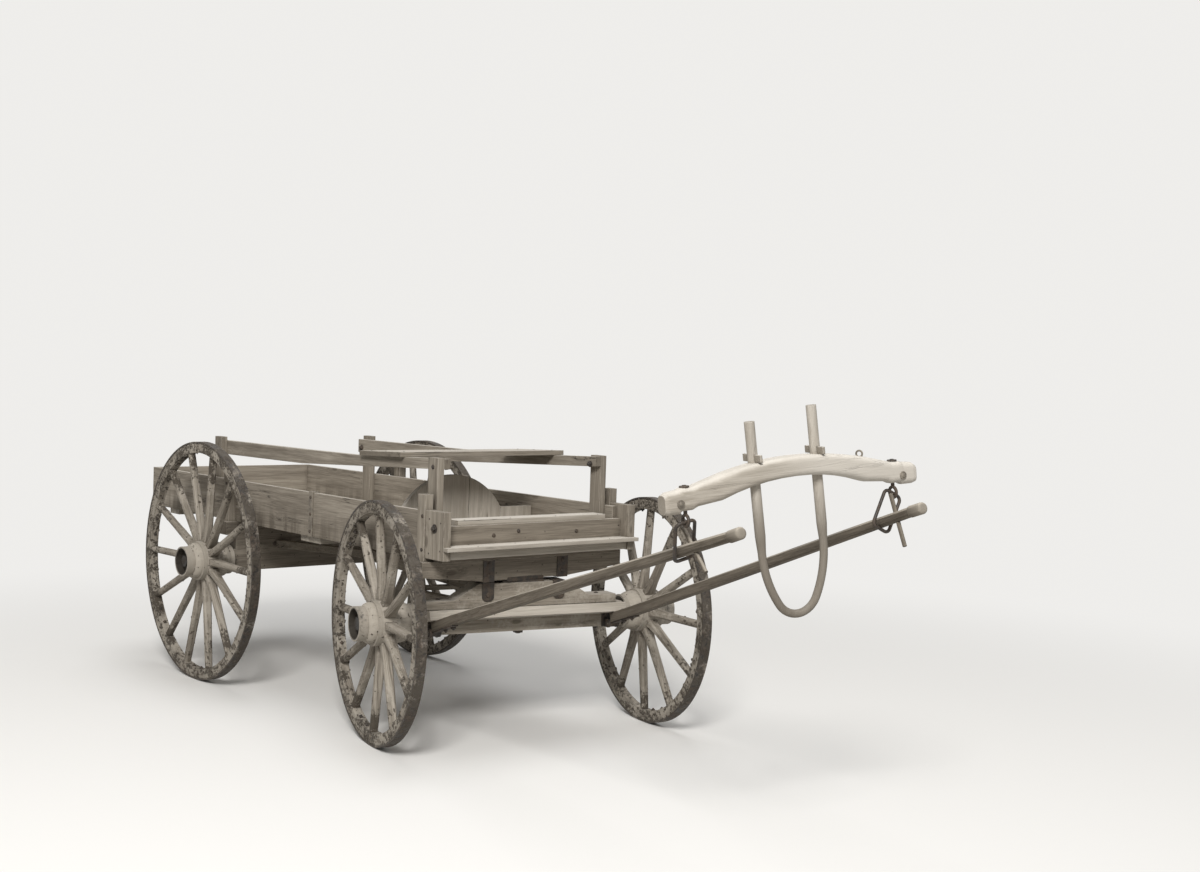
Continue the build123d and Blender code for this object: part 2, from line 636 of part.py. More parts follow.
# Front axle, with the hounds let into its top
with BuildPart() as front_hounds:
    with BuildSketch(placed(GEAR, (0, 0, FRONT_AXLE_TOP - HOUND_HEIGHT))):
        for side, sign in SIDES:
            with BuildLine():
                Polyline(
                    (AXLE_HALF_DEPTH, sign * HOUND_FRONT_Y),
                    (AXLE_HALF_DEPTH, sign * (HOUND_FRONT_Y + HOUND_WIDTH)),
                    (HOUND_REAR_X, sign * (HOUND_REAR_Y + HOUND_WIDTH)),
                    (HOUND_REAR_X, sign * HOUND_REAR_Y), close=True,
                )
            make_face()
    extrude(amount=HOUND_HEIGHT)
save(front_hounds, "front_hounds")

with BuildPart() as front_axle:
    with BuildSketch(GEAR.offset(FRONT_AXLE_BOTTOM)):
        Rectangle(2 * AXLE_HALF_DEPTH, 2 * ARM_ROOT)
    extrude(amount=AXLE_HEIGHT)
    add(front_hounds.part, mode=Mode.SUBTRACT)
    with BuildSketch(GEAR):
        Circle(KING_PIN_RADIUS + GAP)
    extrude(amount=BOX_BOTTOM, mode=Mode.SUBTRACT)
save(front_axle, "front_axle")

with BuildPart(GEAR) as sway_bar:
    bar_half = HOUND_REAR_Y + HOUND_WIDTH + SWAY_BAR_END
    slab(
        HOUND_REAR_X, HOUND_REAR_X + SWAY_BAR_DEPTH, -bar_half, bar_half,
        FRONT_AXLE_TOP, FRONT_AXLE_TOP + SWAY_BAR_HEIGHT,
    )
save(sway_bar, "sway_bar")

# Sand board: the upper half of the front axle, with a slot behind in which the reach swings
sand_half = ARM_ROOT - SAND_SHORT
sand_shoulder = SAND_FLAT_HALF + SAND_SHOULDER
with BuildPart() as sand_board:
    with BuildSketch(front_view(GEAR, 0)):
        with BuildLine():
            Polyline(
                (-sand_half, FRONT_AXLE_TOP), (sand_half, FRONT_AXLE_TOP),
                (sand_half, SAND_END_TOP), (sand_shoulder, SAND_END_TOP),
                (SAND_FLAT_HALF, SAND_TOP), (-SAND_FLAT_HALF, SAND_TOP),
                (-sand_shoulder, SAND_END_TOP), (-sand_half, SAND_END_TOP), close=True,
            )
        make_face()
    extrude(amount=SAND_HALF_DEPTH, both=True)
    slot_front = SAND_HALF_DEPTH - REACH_SLOT_WALL
    with BuildSketch(placed(GEAR, ((slot_front - SAND_HALF_DEPTH) / 2, 0, FRONT_AXLE_TOP))):
        Rectangle(slot_front + SAND_HALF_DEPTH, 2 * REACH_SLOT_HALF)
    extrude(amount=REACH_SLOT_TOP - FRONT_AXLE_TOP, mode=Mode.SUBTRACT)
    with BuildSketch(GEAR):
        Circle(KING_PIN_RADIUS + GAP)
    extrude(amount=BOX_BOTTOM, mode=Mode.SUBTRACT)
save(sand_board, "sand_board")

# Axle irons: the lower wear plate and a strap over the sand board on each side of it
with BuildPart() as axle_irons:
    with BuildSketch(GEAR.offset(SAND_TOP)):
        Rectangle(2 * BOLSTER_HALF_DEPTH, 2 * WEAR_PLATE_HALF)
        Circle(KING_PIN_RADIUS + GAP, mode=Mode.SUBTRACT)
    extrude(amount=WEAR_PLATE)
    for side, sign in SIDES:
        strap_tall = SAND_STRAP_REACH + CLIP
        with BuildSketch(front_view(GEAR, 0)):
            with Locations((sign * SAND_STRAP_Y, SAND_TOP + CLIP - strap_tall / 2)):
                outline = Rectangle(SAND_STRAP_WIDTH, strap_tall)
            fillet(outline.vertices().group_by(Axis.Y)[0], SAND_STRAP_CORNER)
        extrude(amount=SAND_HALF_DEPTH + CLIP, both=True)
    with BuildSketch(front_view(GEAR, 0)):
        with Locations((0, SAND_TOP - SAND_HEIGHT / 2)):
            Rectangle(2 * sand_half, SAND_HEIGHT)
    extrude(amount=SAND_HALF_DEPTH, both=True, mode=Mode.SUBTRACT)
save(axle_irons, "axle_irons")

with BuildPart() as king_pin:
    nut_bottom = FRONT_AXLE_BOTTOM - KING_PIN_NUT
    with BuildSketch(GEAR.offset(nut_bottom - KING_PIN_END)):
        Circle(KING_PIN_RADIUS)
    extrude(amount=BOX_BOTTOM - KING_PIN_CLEAR - nut_bottom + KING_PIN_END)
    with BuildSketch(GEAR.offset(nut_bottom)):
        RegularPolygon(2 * KING_PIN_RADIUS, 6)
    extrude(amount=KING_PIN_NUT)
save(king_pin, "king_pin")

# Shaft couplings: a plate, two ears and the hinge pin on the front axle, one each side
with BuildPart(GEAR) as shaft_couplings:
    for side, sign in SIDES:
        y = sign * SHAFT_ROOT_Y
        half = EAR_GAP / 2 + EAR_THICKNESS
        plate_half = half + EAR_PLATE_MARGIN
        slab(
            AXLE_HALF_DEPTH, AXLE_HALF_DEPTH + EAR_PLATE, y - plate_half, y + plate_half,
            PIN_Z - EAR_RADIUS, PIN_Z + EAR_PLATE_RISE,
        )
        with BuildSketch(side_view(GEAR, y)):
            with Locations((PIN_X, PIN_Z)):
                Circle(EAR_RADIUS)
            with Locations(((AXLE_HALF_DEPTH + PIN_X) / 2, PIN_Z)):
                Rectangle(PIN_X - AXLE_HALF_DEPTH, 2 * EAR_RADIUS)
        extrude(amount=half, both=True)
        slab(
            AXLE_HALF_DEPTH + EAR_PLATE, PIN_X + 2 * EAR_RADIUS, y - EAR_GAP / 2, y + EAR_GAP / 2,
            PIN_Z - 2 * EAR_RADIUS, PIN_Z + 2 * EAR_RADIUS, mode=Mode.SUBTRACT,
        )
        with BuildSketch(side_view(GEAR, y)):
            with Locations((PIN_X, PIN_Z)):
                Circle(PIN_RADIUS)
        extrude(amount=half + PIN_END, both=True)
save(shaft_couplings, "shaft_couplings")

# Box floor: planks laid lengthwise, and the sills under them
with BuildPart(WAGON) as floor_boards:
    board = (2 * INNER_HALF - (FLOOR_BOARDS - 1) * FLOOR_BOARD_GAP) / FLOOR_BOARDS
    for index in range(FLOOR_BOARDS):
        start = -INNER_HALF + index * (board + FLOOR_BOARD_GAP)
        slab(BOX_REAR + PLANK, BOX_FRONT, start, start + board, BOX_BOTTOM, FLOOR_TOP)
save(floor_boards, "floor_boards")

with BuildPart(WAGON) as floor_sills:
    # Columns: middle of a sill along the box, its width
    for middle, width in SILLS:
        slab(
            middle - width / 2, middle + width / 2, -INNER_HALF, INNER_HALF,
            BOX_BOTTOM - SILL_HEIGHT, BOX_BOTTOM,
        )
save(floor_sills, "floor_sills")

for side, sign in SIDES:
    inner, outer = sorted((sign * INNER_HALF, sign * BOX_HALF_WIDTH))
    with BuildPart(WAGON) as side_board:
        slab(BOX_REAR, BOX_FRONT, inner, outer, BOX_BOTTOM, BOX_TOP)
    save(side_board, f"side_board_{side}")

with BuildPart(WAGON) as tail_board:
    slab(BOX_REAR, BOX_REAR + PLANK, -INNER_HALF, INNER_HALF, BOX_BOTTOM, BOX_TOP)
save(tail_board, "tail_board")

# Headboard of upright planks with an arched top, held by a batten
with BuildPart() as head_board:
    with BuildSketch(front_view(WAGON, HEAD_X)):
        with BuildLine():
            Polyline(
                (HEAD_ARCH_HALF, HEAD_SHOULDER), (INNER_HALF, HEAD_SHOULDER), (INNER_HALF, FLOOR_TOP),
                (-INNER_HALF, FLOOR_TOP), (-INNER_HALF, HEAD_SHOULDER), (-HEAD_ARCH_HALF, HEAD_SHOULDER),
            )
            ThreePointArc((-HEAD_ARCH_HALF, HEAD_SHOULDER), (0, HEAD_TOP), (HEAD_ARCH_HALF, HEAD_SHOULDER))
        make_face()
        head_plank = 2 * INNER_HALF / HEAD_PLANKS
        for joint in range(1, HEAD_PLANKS):
            with Locations((joint * head_plank - INNER_HALF, (FLOOR_TOP + HEAD_TOP) / 2)):
                Rectangle(HEAD_PLANK_GAP, HEAD_TOP, mode=Mode.SUBTRACT)
    extrude(amount=PLANK)
    with BuildSketch(front_view(WAGON, HEAD_X)):
        with Locations((0, (FLOOR_TOP + HEAD_SHOULDER) / 2)):
            Rectangle(2 * INNER_HALF, HEAD_BATTEN_WIDTH)
    extrude(amount=-HEAD_BATTEN)
save(head_board, "head_board")

# Front: a board over the ends of the side boards, the foot plank on its top, and a
# step on a ledger between the corner blocks
with BuildPart(WAGON) as front_board:
    slab(BOX_FRONT, FRONT_FACE, -BOX_HALF_WIDTH, BOX_HALF_WIDTH, BOX_BOTTOM, FRONT_BOARD_TOP)
save(front_board, "front_board")

with BuildPart(WAGON) as foot_plank:
    foot_front = FRONT_FACE - FOOT_PLANK_SETBACK
    foot_half = INNER_HALF - FOOT_PLANK_SHORT
    slab(
        foot_front - FOOT_PLANK_DEPTH, foot_front, -foot_half, foot_half,
        FRONT_BOARD_TOP, FRONT_BOARD_TOP + FOOT_PLANK,
    )
save(foot_plank, "foot_plank")

with BuildPart(WAGON) as corner_blocks:
    for side, sign in SIDES:
        inner, outer = sorted((sign * BOX_HALF_WIDTH, sign * (BOX_HALF_WIDTH + CORNER_BLOCK)))
        slab(
            BLOCK_FRONT - CORNER_BLOCK_LENGTH, BLOCK_FRONT, inner, outer,
            BOX_BOTTOM + CORNER_BLOCK_LIFT, BOX_TOP + CORNER_BLOCK_RISE,
        )
save(corner_blocks, "corner_blocks")

with BuildPart(WAGON) as front_step:
    half = BOX_HALF_WIDTH - GAP
    wing = BOX_HALF_WIDTH + CORNER_BLOCK
    under = STEP_TOP - STEP_THICKNESS
    slab(FRONT_FACE, FRONT_FACE + STEP_DEPTH, -half, half, under, STEP_TOP)
    slab(BLOCK_FRONT + GAP, FRONT_FACE + STEP_DEPTH, -wing, wing, under, STEP_TOP)
    slab(FRONT_FACE, FRONT_FACE + STEP_LEDGER, -half, half, BOX_BOTTOM + STEP_LEDGER_RISE, under)
save(front_step, "front_step")

# Posts inside the box carry the rails; each rail is a tapered board on edge
with BuildPart(WAGON) as rail_posts:
    for x, rise in ((FRONT_POST_X, FRONT_POST_RISE), (REAR_POST_X, REAR_POST_RISE)):
        for side, sign in SIDES:
            inner, outer = sorted((sign * (INNER_HALF - POST), sign * INNER_HALF))
            slab(x, x + POST_WIDTH, inner, outer, FLOOR_TOP, BOX_TOP + rise)
save(rail_posts, "rail_posts")

# Columns: place along the wagon, bottom and top of the rail above the side boards
RAIL_STATIONS = (
    (REAR_POST_X, 130, 208), (WHEELBASE - RAIL_JOINT_SETBACK, 136, 211), (SEAT_X - SEAT_LEAD, 161, 215),
    (FRONT_POST_X + POST_WIDTH, 196, 245),
)
with BuildPart() as side_rails:
    for side, sign in SIDES:
        with BuildSketch(side_view(WAGON, sign * (INNER_HALF - POST))):
            with BuildLine():
                bottom = [(x, BOX_TOP + low) for x, low, high in RAIL_STATIONS]
                top = [(x, BOX_TOP + high) for x, low, high in reversed(RAIL_STATIONS)]
                Polyline(*bottom, *top, close=True)
            make_face()
        extrude(amount=sign * RAIL)
save(side_rails, "side_rails")

# The seat is a plank across the rails
(seat_rear, low_rear, top_rear), (seat_front, low_front, top_front) = RAIL_STATIONS[2:]
rise = atan2(top_front - top_rear, seat_front - seat_rear)
seat_foot = (seat_rear, 0, BOX_TOP + top_rear)
SEAT = placed(WAGON, seat_foot, (cos(rise), 0, sin(rise)), (-sin(rise), 0, cos(rise)))
with BuildPart(SEAT) as seat_plank:
    start = SEAT_X - seat_rear
    seat_half = INNER_HALF - SEAT_SHORT
    slab(start, start + SEAT_WIDTH, -seat_half, seat_half, 0, SEAT_THICKNESS)
save(seat_plank, "seat_plank")

# Iron straps over the side boards
with BuildPart(WAGON) as side_straps:
    for side, sign in SIDES:
        inner, outer = sorted((sign * BOX_HALF_WIDTH, sign * (BOX_HALF_WIDTH + STRAP)))
        slab(STRAP_X, STRAP_X + STRAP_WIDTH, inner, outer, BOX_BOTTOM, BOX_TOP + STRAP)
        inner, outer = sorted((sign * (INNER_HALF - STRAP), sign * (BOX_HALF_WIDTH + STRAP)))
        slab(STRAP_X, STRAP_X + STRAP_WIDTH, inner, outer, BOX_TOP, BOX_TOP + STRAP)
save(side_straps, "side_straps")

# Shafts: long tapered poles with cut edges and a round knob, closer at their tips
# Columns: place along the shaft, height, width, edge cut, share of the twist
SHAFT_STATIONS = (
    (SHAFT_START, 46, 46, 2, 0), (260, 46, 46, 2, 0), (SHAFT_LENGTH / 2, 43, 44, 5, 0.42),
    (SHAFT_LENGTH - 388, 38, 40, 8, 0.84), (SHAFT_LENGTH - KNOB_LENGTH / 2, 34, 37, 9, 1),
)
ROOT_TALL = SHAFT_STATIONS[0][1]

# Columns: side, place of the ring and of the peg behind the tip, the peg's lean to the rear
SHAFT_FITTINGS = (("right", 360, 300, 32), ("left", 246, 158, 10))


def shaft_centre(x, sign, share):
    """Where the middle of a shaft is, at a place along it, in the shafts' frame."""
    y = SHAFT_ROOT_Y + (SHAFT_TIP_Y - SHAFT_ROOT_Y) * x / SHAFT_LENGTH
    return (x, sign * y, SHAFT_IRON / 2 + ROOT_TALL / 2 + sign * SHAFT_TWIST * share)


def shaft_section(x, sign):
    """Middle, height, width and edge cut of a shaft between its last two stations."""
    (x_low, *low), (x_high, *high) = SHAFT_STATIONS[-2:]
    way = (x - x_low) / (x_high - x_low)
    tall, wide, cut, share = (a + way * (b - a) for a, b in zip(low, high))
    return Vector(shaft_centre(x, sign, share)), tall, wide, cut


def peg_plane(behind, sign, lean):
    """A plane across the peg in the middle of a shaft, its z up along the peg."""
    middle = shaft_section(SHAFT_LENGTH - behind, sign)[0]
    angle = radians(lean)
    return placed(SHAFTS, middle, (cos(angle), 0, sin(angle)), (-sin(angle), 0, cos(angle)))


for side, ring_behind, peg_behind, lean in SHAFT_FITTINGS:
    sign = dict(SIDES)[side]
    with BuildPart() as shaft:
        for x, tall, wide, cut, share in SHAFT_STATIONS:
            with BuildSketch(placed(SHAFTS, shaft_centre(x, sign, share), (0, 1, 0), (1, 0, 0))):
                section = Rectangle(wide, tall)
                chamfer(section.vertices(), cut)
        loft(ruled=True)
        knob_start = shaft_centre(SHAFT_LENGTH - KNOB_LENGTH, sign, 1)
        knob_plane = placed(SHAFTS, knob_start, (0, 1, 0), (1, 0, 0))
        with BuildSketch(knob_plane):
            Circle(KNOB_RADIUS)
        extrude(amount=KNOB_LENGTH)
        fillet(shaft.faces().sort_by(Axis(knob_plane.origin, knob_plane.z_dir))[-1].edges(), KNOB_RADIUS / 2)
        with BuildSketch(peg_plane(peg_behind, sign, lean)):
            Circle(PEG_RADIUS + GAP)
        extrude(amount=PEG_LENGTH, both=True, mode=Mode.SUBTRACT)
    save(shaft, f"shaft_{side}")

with BuildPart() as shaft_pegs:
    for side, ring_behind, peg_behind, lean in SHAFT_FITTINGS:
        across_peg = peg_plane(peg_behind, dict(SIDES)[side], lean)
        with BuildSketch(across_peg.offset(-PEG_LENGTH / 2 - PEG_DROP)):
            Circle(PEG_RADIUS)
        extrude(amount=PEG_LENGTH)
save(shaft_pegs, "shaft_pegs")

with BuildPart(SHAFTS) as cross_bar:
    bar_half = SHAFT_ROOT_Y + CROSS_BAR_END
    slab(
        CROSS_BAR_X, CROSS_BAR_X + CROSS_BAR_DEPTH, -bar_half, bar_half,
        SHAFT_IRON / 2 + ROOT_TALL, SHAFT_IRON / 2 + ROOT_TALL + CROSS_BAR_HEIGHT,
    )
save(cross_bar, "cross_bar")

# Shaft irons: an eye round the hinge pin and a strap under the shaft
with BuildPart(SHAFTS) as shaft_irons:
    for side, sign in SIDES:
        y = sign * SHAFT_ROOT_Y
        half = EAR_GAP / 2 - SHAFT_EYE_PLAY
        with BuildSketch(side_view(SHAFTS, y)):
            Circle(EAR_RADIUS - SHAFT_EYE_CLEAR)
        extrude(amount=half, both=True)
        slab(0, SHAFT_IRON_LENGTH, y - half, y + half, -SHAFT_IRON / 2, SHAFT_IRON / 2)
        with BuildSketch(side_view(SHAFTS, y)):
            Circle(PIN_RADIUS + GAP)
        extrude(amount=half, both=True, mode=Mode.SUBTRACT)
save(shaft_irons, "shaft_irons")

# Beam: hewn from one piece, hollowed under its middle, slim at its ends, bored for the bow
def arc_height(y, half, foot, crown):
    """Height of a flat arc, from its foot at the half width to its crown in the middle."""
    radius = (half**2 + (crown - foot) ** 2) / (2 * (crown - foot))
    return crown - radius + (radius**2 - y**2) ** 0.5


SEAT_IN, SEAT_OUT = EYE_Y - EYE_SEAT_HALF, EYE_Y + EYE_SEAT_HALF


def beam_top(y):
    return arc_height(y, SEAT_IN, EYE_SEAT_TOP, YOKE_CROWN)


# Columns: place across the yoke, bottom, top, share of the added depth in the middle
BEAM_STATIONS = (
    (YOKE_HALF_LENGTH, -34, 32, -0.2),
    (YOKE_HALF_LENGTH - 16, -38, 42, 0),
    (SEAT_OUT + 12, -37, 47, 0.05),
    (SEAT_OUT, EYE_SEAT_BOTTOM, EYE_SEAT_TOP, 0.1),
    (SEAT_IN, EYE_SEAT_BOTTOM, EYE_SEAT_TOP, 0.2),
    (SEAT_IN - 22, -18, beam_top(SEAT_IN - 22), 0.25),
    (YOKE_ARCH_HALF, YOKE_ARCH_FOOT, beam_top(YOKE_ARCH_HALF), 0.5),
)
ARCH_STEPS = 5
beam_half = list(BEAM_STATIONS)
for step in range(1, ARCH_STEPS + 1):
    y = YOKE_ARCH_HALF * (1 - step / ARCH_STEPS)
    bottom = arc_height(y, YOKE_ARCH_HALF, YOKE_ARCH_FOOT, YOKE_ARCH)
    beam_half.append((y, bottom, beam_top(y), 0.5 + 0.5 * step / ARCH_STEPS))
beam_sections = [(-y, low, high, share) for y, low, high, share in beam_half[:-1]] + beam_half[::-1]

with BuildPart() as yoke_beam:
    for y, low, high, share in beam_sections:
        deep = YOKE_END_DEPTH + share * (YOKE_MIDDLE_DEPTH - YOKE_END_DEPTH)
        with BuildSketch(placed(YOKE, (0, y, (low + high) / 2), (1, 0, 0), (0, 1, 0))):
            RectangleRounded(deep, high - low, 0.3 * (high - low))
    loft(ruled=True)
    for side, sign in SIDES:
        with BuildSketch(placed(BOW, (0, sign * BOW_HALF_WIDTH, 0))):
            Circle(BOW_RADIUS + GAP)
        extrude(amount=4 * YOKE_CROWN, both=True, mode=Mode.SUBTRACT)
        with BuildSketch(placed(YOKE, (0, sign * EYE_Y, 0))):
            Circle(EYE_SHANK_RADIUS + GAP)
        extrude(amount=4 * YOKE_CROWN, both=True, mode=Mode.SUBTRACT)
save(yoke_beam, "yoke_beam")

# Bow: a bent rod, slimmer round its bend, whose two limbs rise through the beam
flank_turn = radians(BOW_FLANK_TURN)
flank_out = BOW_HALF_WIDTH - BOW_FLANK_RADIUS * (1 - cos(flank_turn))
flank_low = BOW_LIMB_END - BOW_FLANK_RADIUS * sin(flank_turn)
bend_radius = flank_out / cos(flank_turn)
bow_bottom = flank_low - bend_radius * (1 - sin(flank_turn))


def key_seat(sign):
    """How high on its limb a key lies on the beam's top."""
    height = YOKE_CROWN
    for attempt in range(4):
        place = YOKE.to_local_coords(BOW.from_local_coords(Vector(0, sign * BOW_HALF_WIDTH, height)))
        height += beam_top(place.Y) - place.Z
    return height + KEY_LIFT


with BuildPart() as yoke_bow:
    with BuildLine(front_view(BOW, 0)) as bow_path:
        limb_end, flank_end = (BOW_HALF_WIDTH, BOW_LIMB_END), (flank_out, flank_low)
        middle = BOW_HALF_WIDTH - BOW_FLANK_RADIUS * (1 - cos(flank_turn / 2))
        flank_middle = (middle, BOW_LIMB_END - BOW_FLANK_RADIUS * sin(flank_turn / 2))
        ThreePointArc(*((-y, z) for y, z in (limb_end, flank_middle, flank_end)))
        ThreePointArc((-flank_out, flank_low), (0, bow_bottom), flank_end)
        ThreePointArc(flank_end, flank_middle, limb_end)
    wire = bow_path.wires()[0]
    with BuildSketch(Plane(origin=wire @ 0, z_dir=wire % 0)):
        Circle(BOW_BEND_RADIUS)
    sweep(path=wire)
    for side, sign in SIDES:
        limb = placed(BOW, (0, sign * BOW_HALF_WIDTH, BOW_LIMB_END))
        with BuildSketch(limb):
            Circle(BOW_BEND_RADIUS)
        with BuildSketch(limb.offset(BOW_TAPER)):
            Circle(BOW_RADIUS)
        loft()
        with BuildSketch(limb.offset(BOW_TAPER)):
            Circle(BOW_RADIUS)
        extrude(amount=BOW_TOPS[side] - BOW_LIMB_END - BOW_TAPER)
        with BuildSketch(placed(BOW, (0, sign * BOW_HALF_WIDTH, key_seat(sign) + KEY_WIDTH / 2))):
            Rectangle(4 * BOW_RADIUS, KEY_THICKNESS + 2 * GAP)
        extrude(amount=KEY_WIDTH / 2 + GAP, both=True, mode=Mode.SUBTRACT)
save(yoke_bow, "yoke_bow")

with BuildPart() as bow_keys:
    for side, sign in SIDES:
        with BuildSketch(placed(BOW, (0, sign * BOW_HALF_WIDTH, key_seat(sign)))):
            Rectangle(KEY_LENGTH, KEY_THICKNESS)
        extrude(amount=KEY_WIDTH)
save(bow_keys, "bow_keys")

# Eye bolts through the beam's ends, each with a washer and a riveted head on top
EYE_Z = EYE_SEAT_BOTTOM - EYE_NECK - EYE_WIRE / 2 - EYE_RADIUS
with BuildPart() as yoke_staples:
    for side, sign in SIDES:
        shank = placed(YOKE, (0, sign * EYE_Y, EYE_Z + EYE_RADIUS))
        with BuildSketch(shank):
            Circle(EYE_SHANK_RADIUS)
        extrude(amount=EYE_SEAT_TOP + GAP + EYE_WASHER + EYE_RIVET - EYE_Z - EYE_RADIUS)
        with BuildSketch(placed(YOKE, (0, sign * EYE_Y, EYE_SEAT_TOP + GAP))):
            Circle(EYE_WASHER_RADIUS)
        extrude(amount=EYE_WASHER)
        with Locations(placed(YOKE, (0, sign * EYE_Y, EYE_Z), (1, 0, 0), (0, 1, 0)).location):
            Torus(EYE_RADIUS, EYE_WIRE / 2)
save(yoke_staples, "yoke_staples")


# Shaft rings: long links that hang in the eyes, each with a shaft lying in it
def link_frame(foot, top):
    """Directions along and across a link that runs from its foot to its top."""
    along = (top - foot).normalized()
    across = (YOKE.y_dir - along * YOKE.y_dir.dot(along)).normalized()
    return along, across


def link_ends(behind, sign):
    """Middles of a link's lower bar, under the shaft, and of its upper bar, in the eye."""
    place, tall, wide, cut = shaft_section(SHAFT_LENGTH - behind, sign)
    middle = SHAFTS.from_local_coords(place)
    eye = YOKE.from_local_coords(Vector(0, sign * EYE_Y, EYE_Z))
    along, across = link_frame(middle, eye)
    rise, level = across.dot(SHAFTS.z_dir), across.dot(SHAFTS.y_dir)
    upright = along.dot(SHAFTS.z_dir)
    offset = -along.dot(SHAFTS.y_dir) / upright * (tall + RING_WIRE) / 2
    flat = wide / 2 - cut
    edge_lift = max((edge - offset) * rise / level for edge in (-flat, flat))
    seat = tall / 2 + (RING_WIRE / 2 + GAP) / level + edge_lift
    foot = middle - along * (seat / upright)
    drop = EYE_RADIUS - (EYE_WIRE / 2 + RING_WIRE / 2 + GAP) / across.dot(YOKE.y_dir)
    pull = foot - eye
    pull = (pull - YOKE.y_dir * pull.dot(YOKE.y_dir)).normalized()
    return foot, eye + pull * drop


with BuildPart() as shaft_rings:
    for side, ring_behind, peg_behind, lean in SHAFT_FITTINGS:
        foot, top = link_ends(ring_behind, dict(SIDES)[side])
        along, across = link_frame(foot, top)
        link = Plane(origin=(foot + top) / 2, x_dir=across, z_dir=across.cross(along))
        half_long = (top - foot).length / 2
        half_wide = (RING_INNER + RING_WIRE) / 2
        with BuildLine(link) as link_path:
            Polyline(
                (-half_wide, half_long), (-half_wide, -half_long), (half_wide, -half_long),
                (half_wide, half_long), close=True,
            )
            fillet(link_path.vertices(), RING_CORNER + RING_WIRE / 2)
        wire = link_path.wires()[0]
        with BuildSketch(Plane(origin=wire @ 0, z_dir=wire % 0)):
            Circle(RING_WIRE / 2)
        sweep(path=wire)
save(shaft_rings, "shaft_rings")
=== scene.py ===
import json
import random
from collections import namedtuple
from math import cos, pi, radians, sin, sqrt

import bmesh
import bpy
from mathutils import Matrix, Vector
from mathutils.bvhtree import BVHTree


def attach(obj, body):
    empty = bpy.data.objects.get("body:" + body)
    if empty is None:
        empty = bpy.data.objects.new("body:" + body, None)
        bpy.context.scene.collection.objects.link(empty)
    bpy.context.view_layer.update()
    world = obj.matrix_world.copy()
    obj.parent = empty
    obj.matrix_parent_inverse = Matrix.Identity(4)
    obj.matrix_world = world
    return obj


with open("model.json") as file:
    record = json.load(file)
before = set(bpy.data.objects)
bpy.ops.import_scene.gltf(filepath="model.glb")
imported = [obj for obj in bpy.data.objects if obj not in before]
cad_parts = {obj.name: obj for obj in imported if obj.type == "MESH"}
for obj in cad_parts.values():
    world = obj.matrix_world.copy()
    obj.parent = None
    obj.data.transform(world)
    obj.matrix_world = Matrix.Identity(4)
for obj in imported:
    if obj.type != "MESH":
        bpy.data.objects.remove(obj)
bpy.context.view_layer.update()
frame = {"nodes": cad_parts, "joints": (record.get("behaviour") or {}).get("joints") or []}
nodes = frame["nodes"]
joints = {joint["name"]: joint for joint in frame["joints"]}

# Places and directions that the pieces are laid out by, in metres
WHEELBASE = 1.950
KING = Vector(joints["steering"]["pos_m"])
KING.z = 0.0
HEADING = -Vector(joints["front_left_wheel_spin"]["axis"]).angle(Vector((0, 1, 0)))
SHAFT_PITCH = radians(17.0)
YOKE_TILT = radians(5.8)
PIN_X, PIN_Z = 0.090, 0.524
YOKE_X, YOKE_Z = 2.2451, 1.3779
WAGON = Matrix.Translation(KING - Vector((WHEELBASE, 0, 0)))
GEAR = Matrix.Translation(KING) @ Matrix.Rotation(HEADING, 4, "Z")
SHAFTS = GEAR @ Matrix.Translation((PIN_X, 0, PIN_Z)) @ Matrix.Rotation(-SHAFT_PITCH, 4, "Y")
YOKE = GEAR @ Matrix.Translation((YOKE_X, 0, YOKE_Z)) @ Matrix.Rotation(YOKE_TILT, 4, "X")
SIDES = (("right", -1), ("left", 1))
QUARTER = pi / 2

# Sizes of the wheels that their finish and small irons follow, in metres
Wheel = namedtuple("Wheel", "centre frame side radius spokes")
FELLOE_DEPTH, TYRE_THICKNESS = 0.050, 0.010
# Columns: end of the wagon, how its axle is turned, wheel radius, spokes
AXLES = (
    ("rear", Matrix(), 0.655, 14),
    ("front", GEAR.to_3x3().to_4x4(), 0.570, 12),
)
WHEELS = {}
for end, axle_turn, radius, spokes in AXLES:
    for side, sign in SIDES:
        centre = Vector(joints[f"{end}_{side}_wheel_spin"]["pos_m"])
        stance = Matrix.Translation(centre) @ axle_turn
        WHEELS[f"{end}_{side}"] = Wheel(centre, stance, sign, radius, spokes)

# Camera, at the place that the picture was taken from
CAMERA_FROM_KING = Vector((6.035, -4.600, 1.784))
FOCAL_PIXELS, PICTURE_WIDTH, SENSOR_WIDTH = 1566.7, 1200, 36.0


def set_camera():
    azimuth, pitch, roll = radians(49.896), radians(2.469), radians(1.866)
    forward = Vector((-sin(azimuth) * cos(pitch), cos(azimuth) * cos(pitch), -sin(pitch)))
    level = Vector((cos(azimuth), sin(azimuth), 0.0))
    above = level.cross(forward)
    right = cos(roll) * level + sin(roll) * above
    up = cos(roll) * above - sin(roll) * level
    data = bpy.data.cameras.new("camera")
    data.sensor_fit = "HORIZONTAL"
    data.sensor_width = SENSOR_WIDTH
    data.lens = FOCAL_PIXELS / PICTURE_WIDTH * SENSOR_WIDTH
    data.clip_end = 100.0
    camera = bpy.data.objects.new("camera", data)
    facing = Matrix((right, up, -forward)).transposed().to_4x4()
    camera.matrix_world = Matrix.Translation(KING + CAMERA_FROM_KING) @ facing
    bpy.context.scene.collection.objects.link(camera)
    bpy.context.scene.camera = camera


# Node helpers
VECTOR, COLOUR = "NodeSocketVector", "NodeSocketColor"
# Kinds of the groups' sockets that aren't plain numbers
KINDS = {"Vector": VECTOR, "Normal": VECTOR, "Dark": COLOUR, "Rust": COLOUR, "Colour": COLOUR}


def add_node(tree, kind, **settings):
    node = tree.nodes.new(kind)
    for key, value in settings.items():
        setattr(node, key, value)
    return node


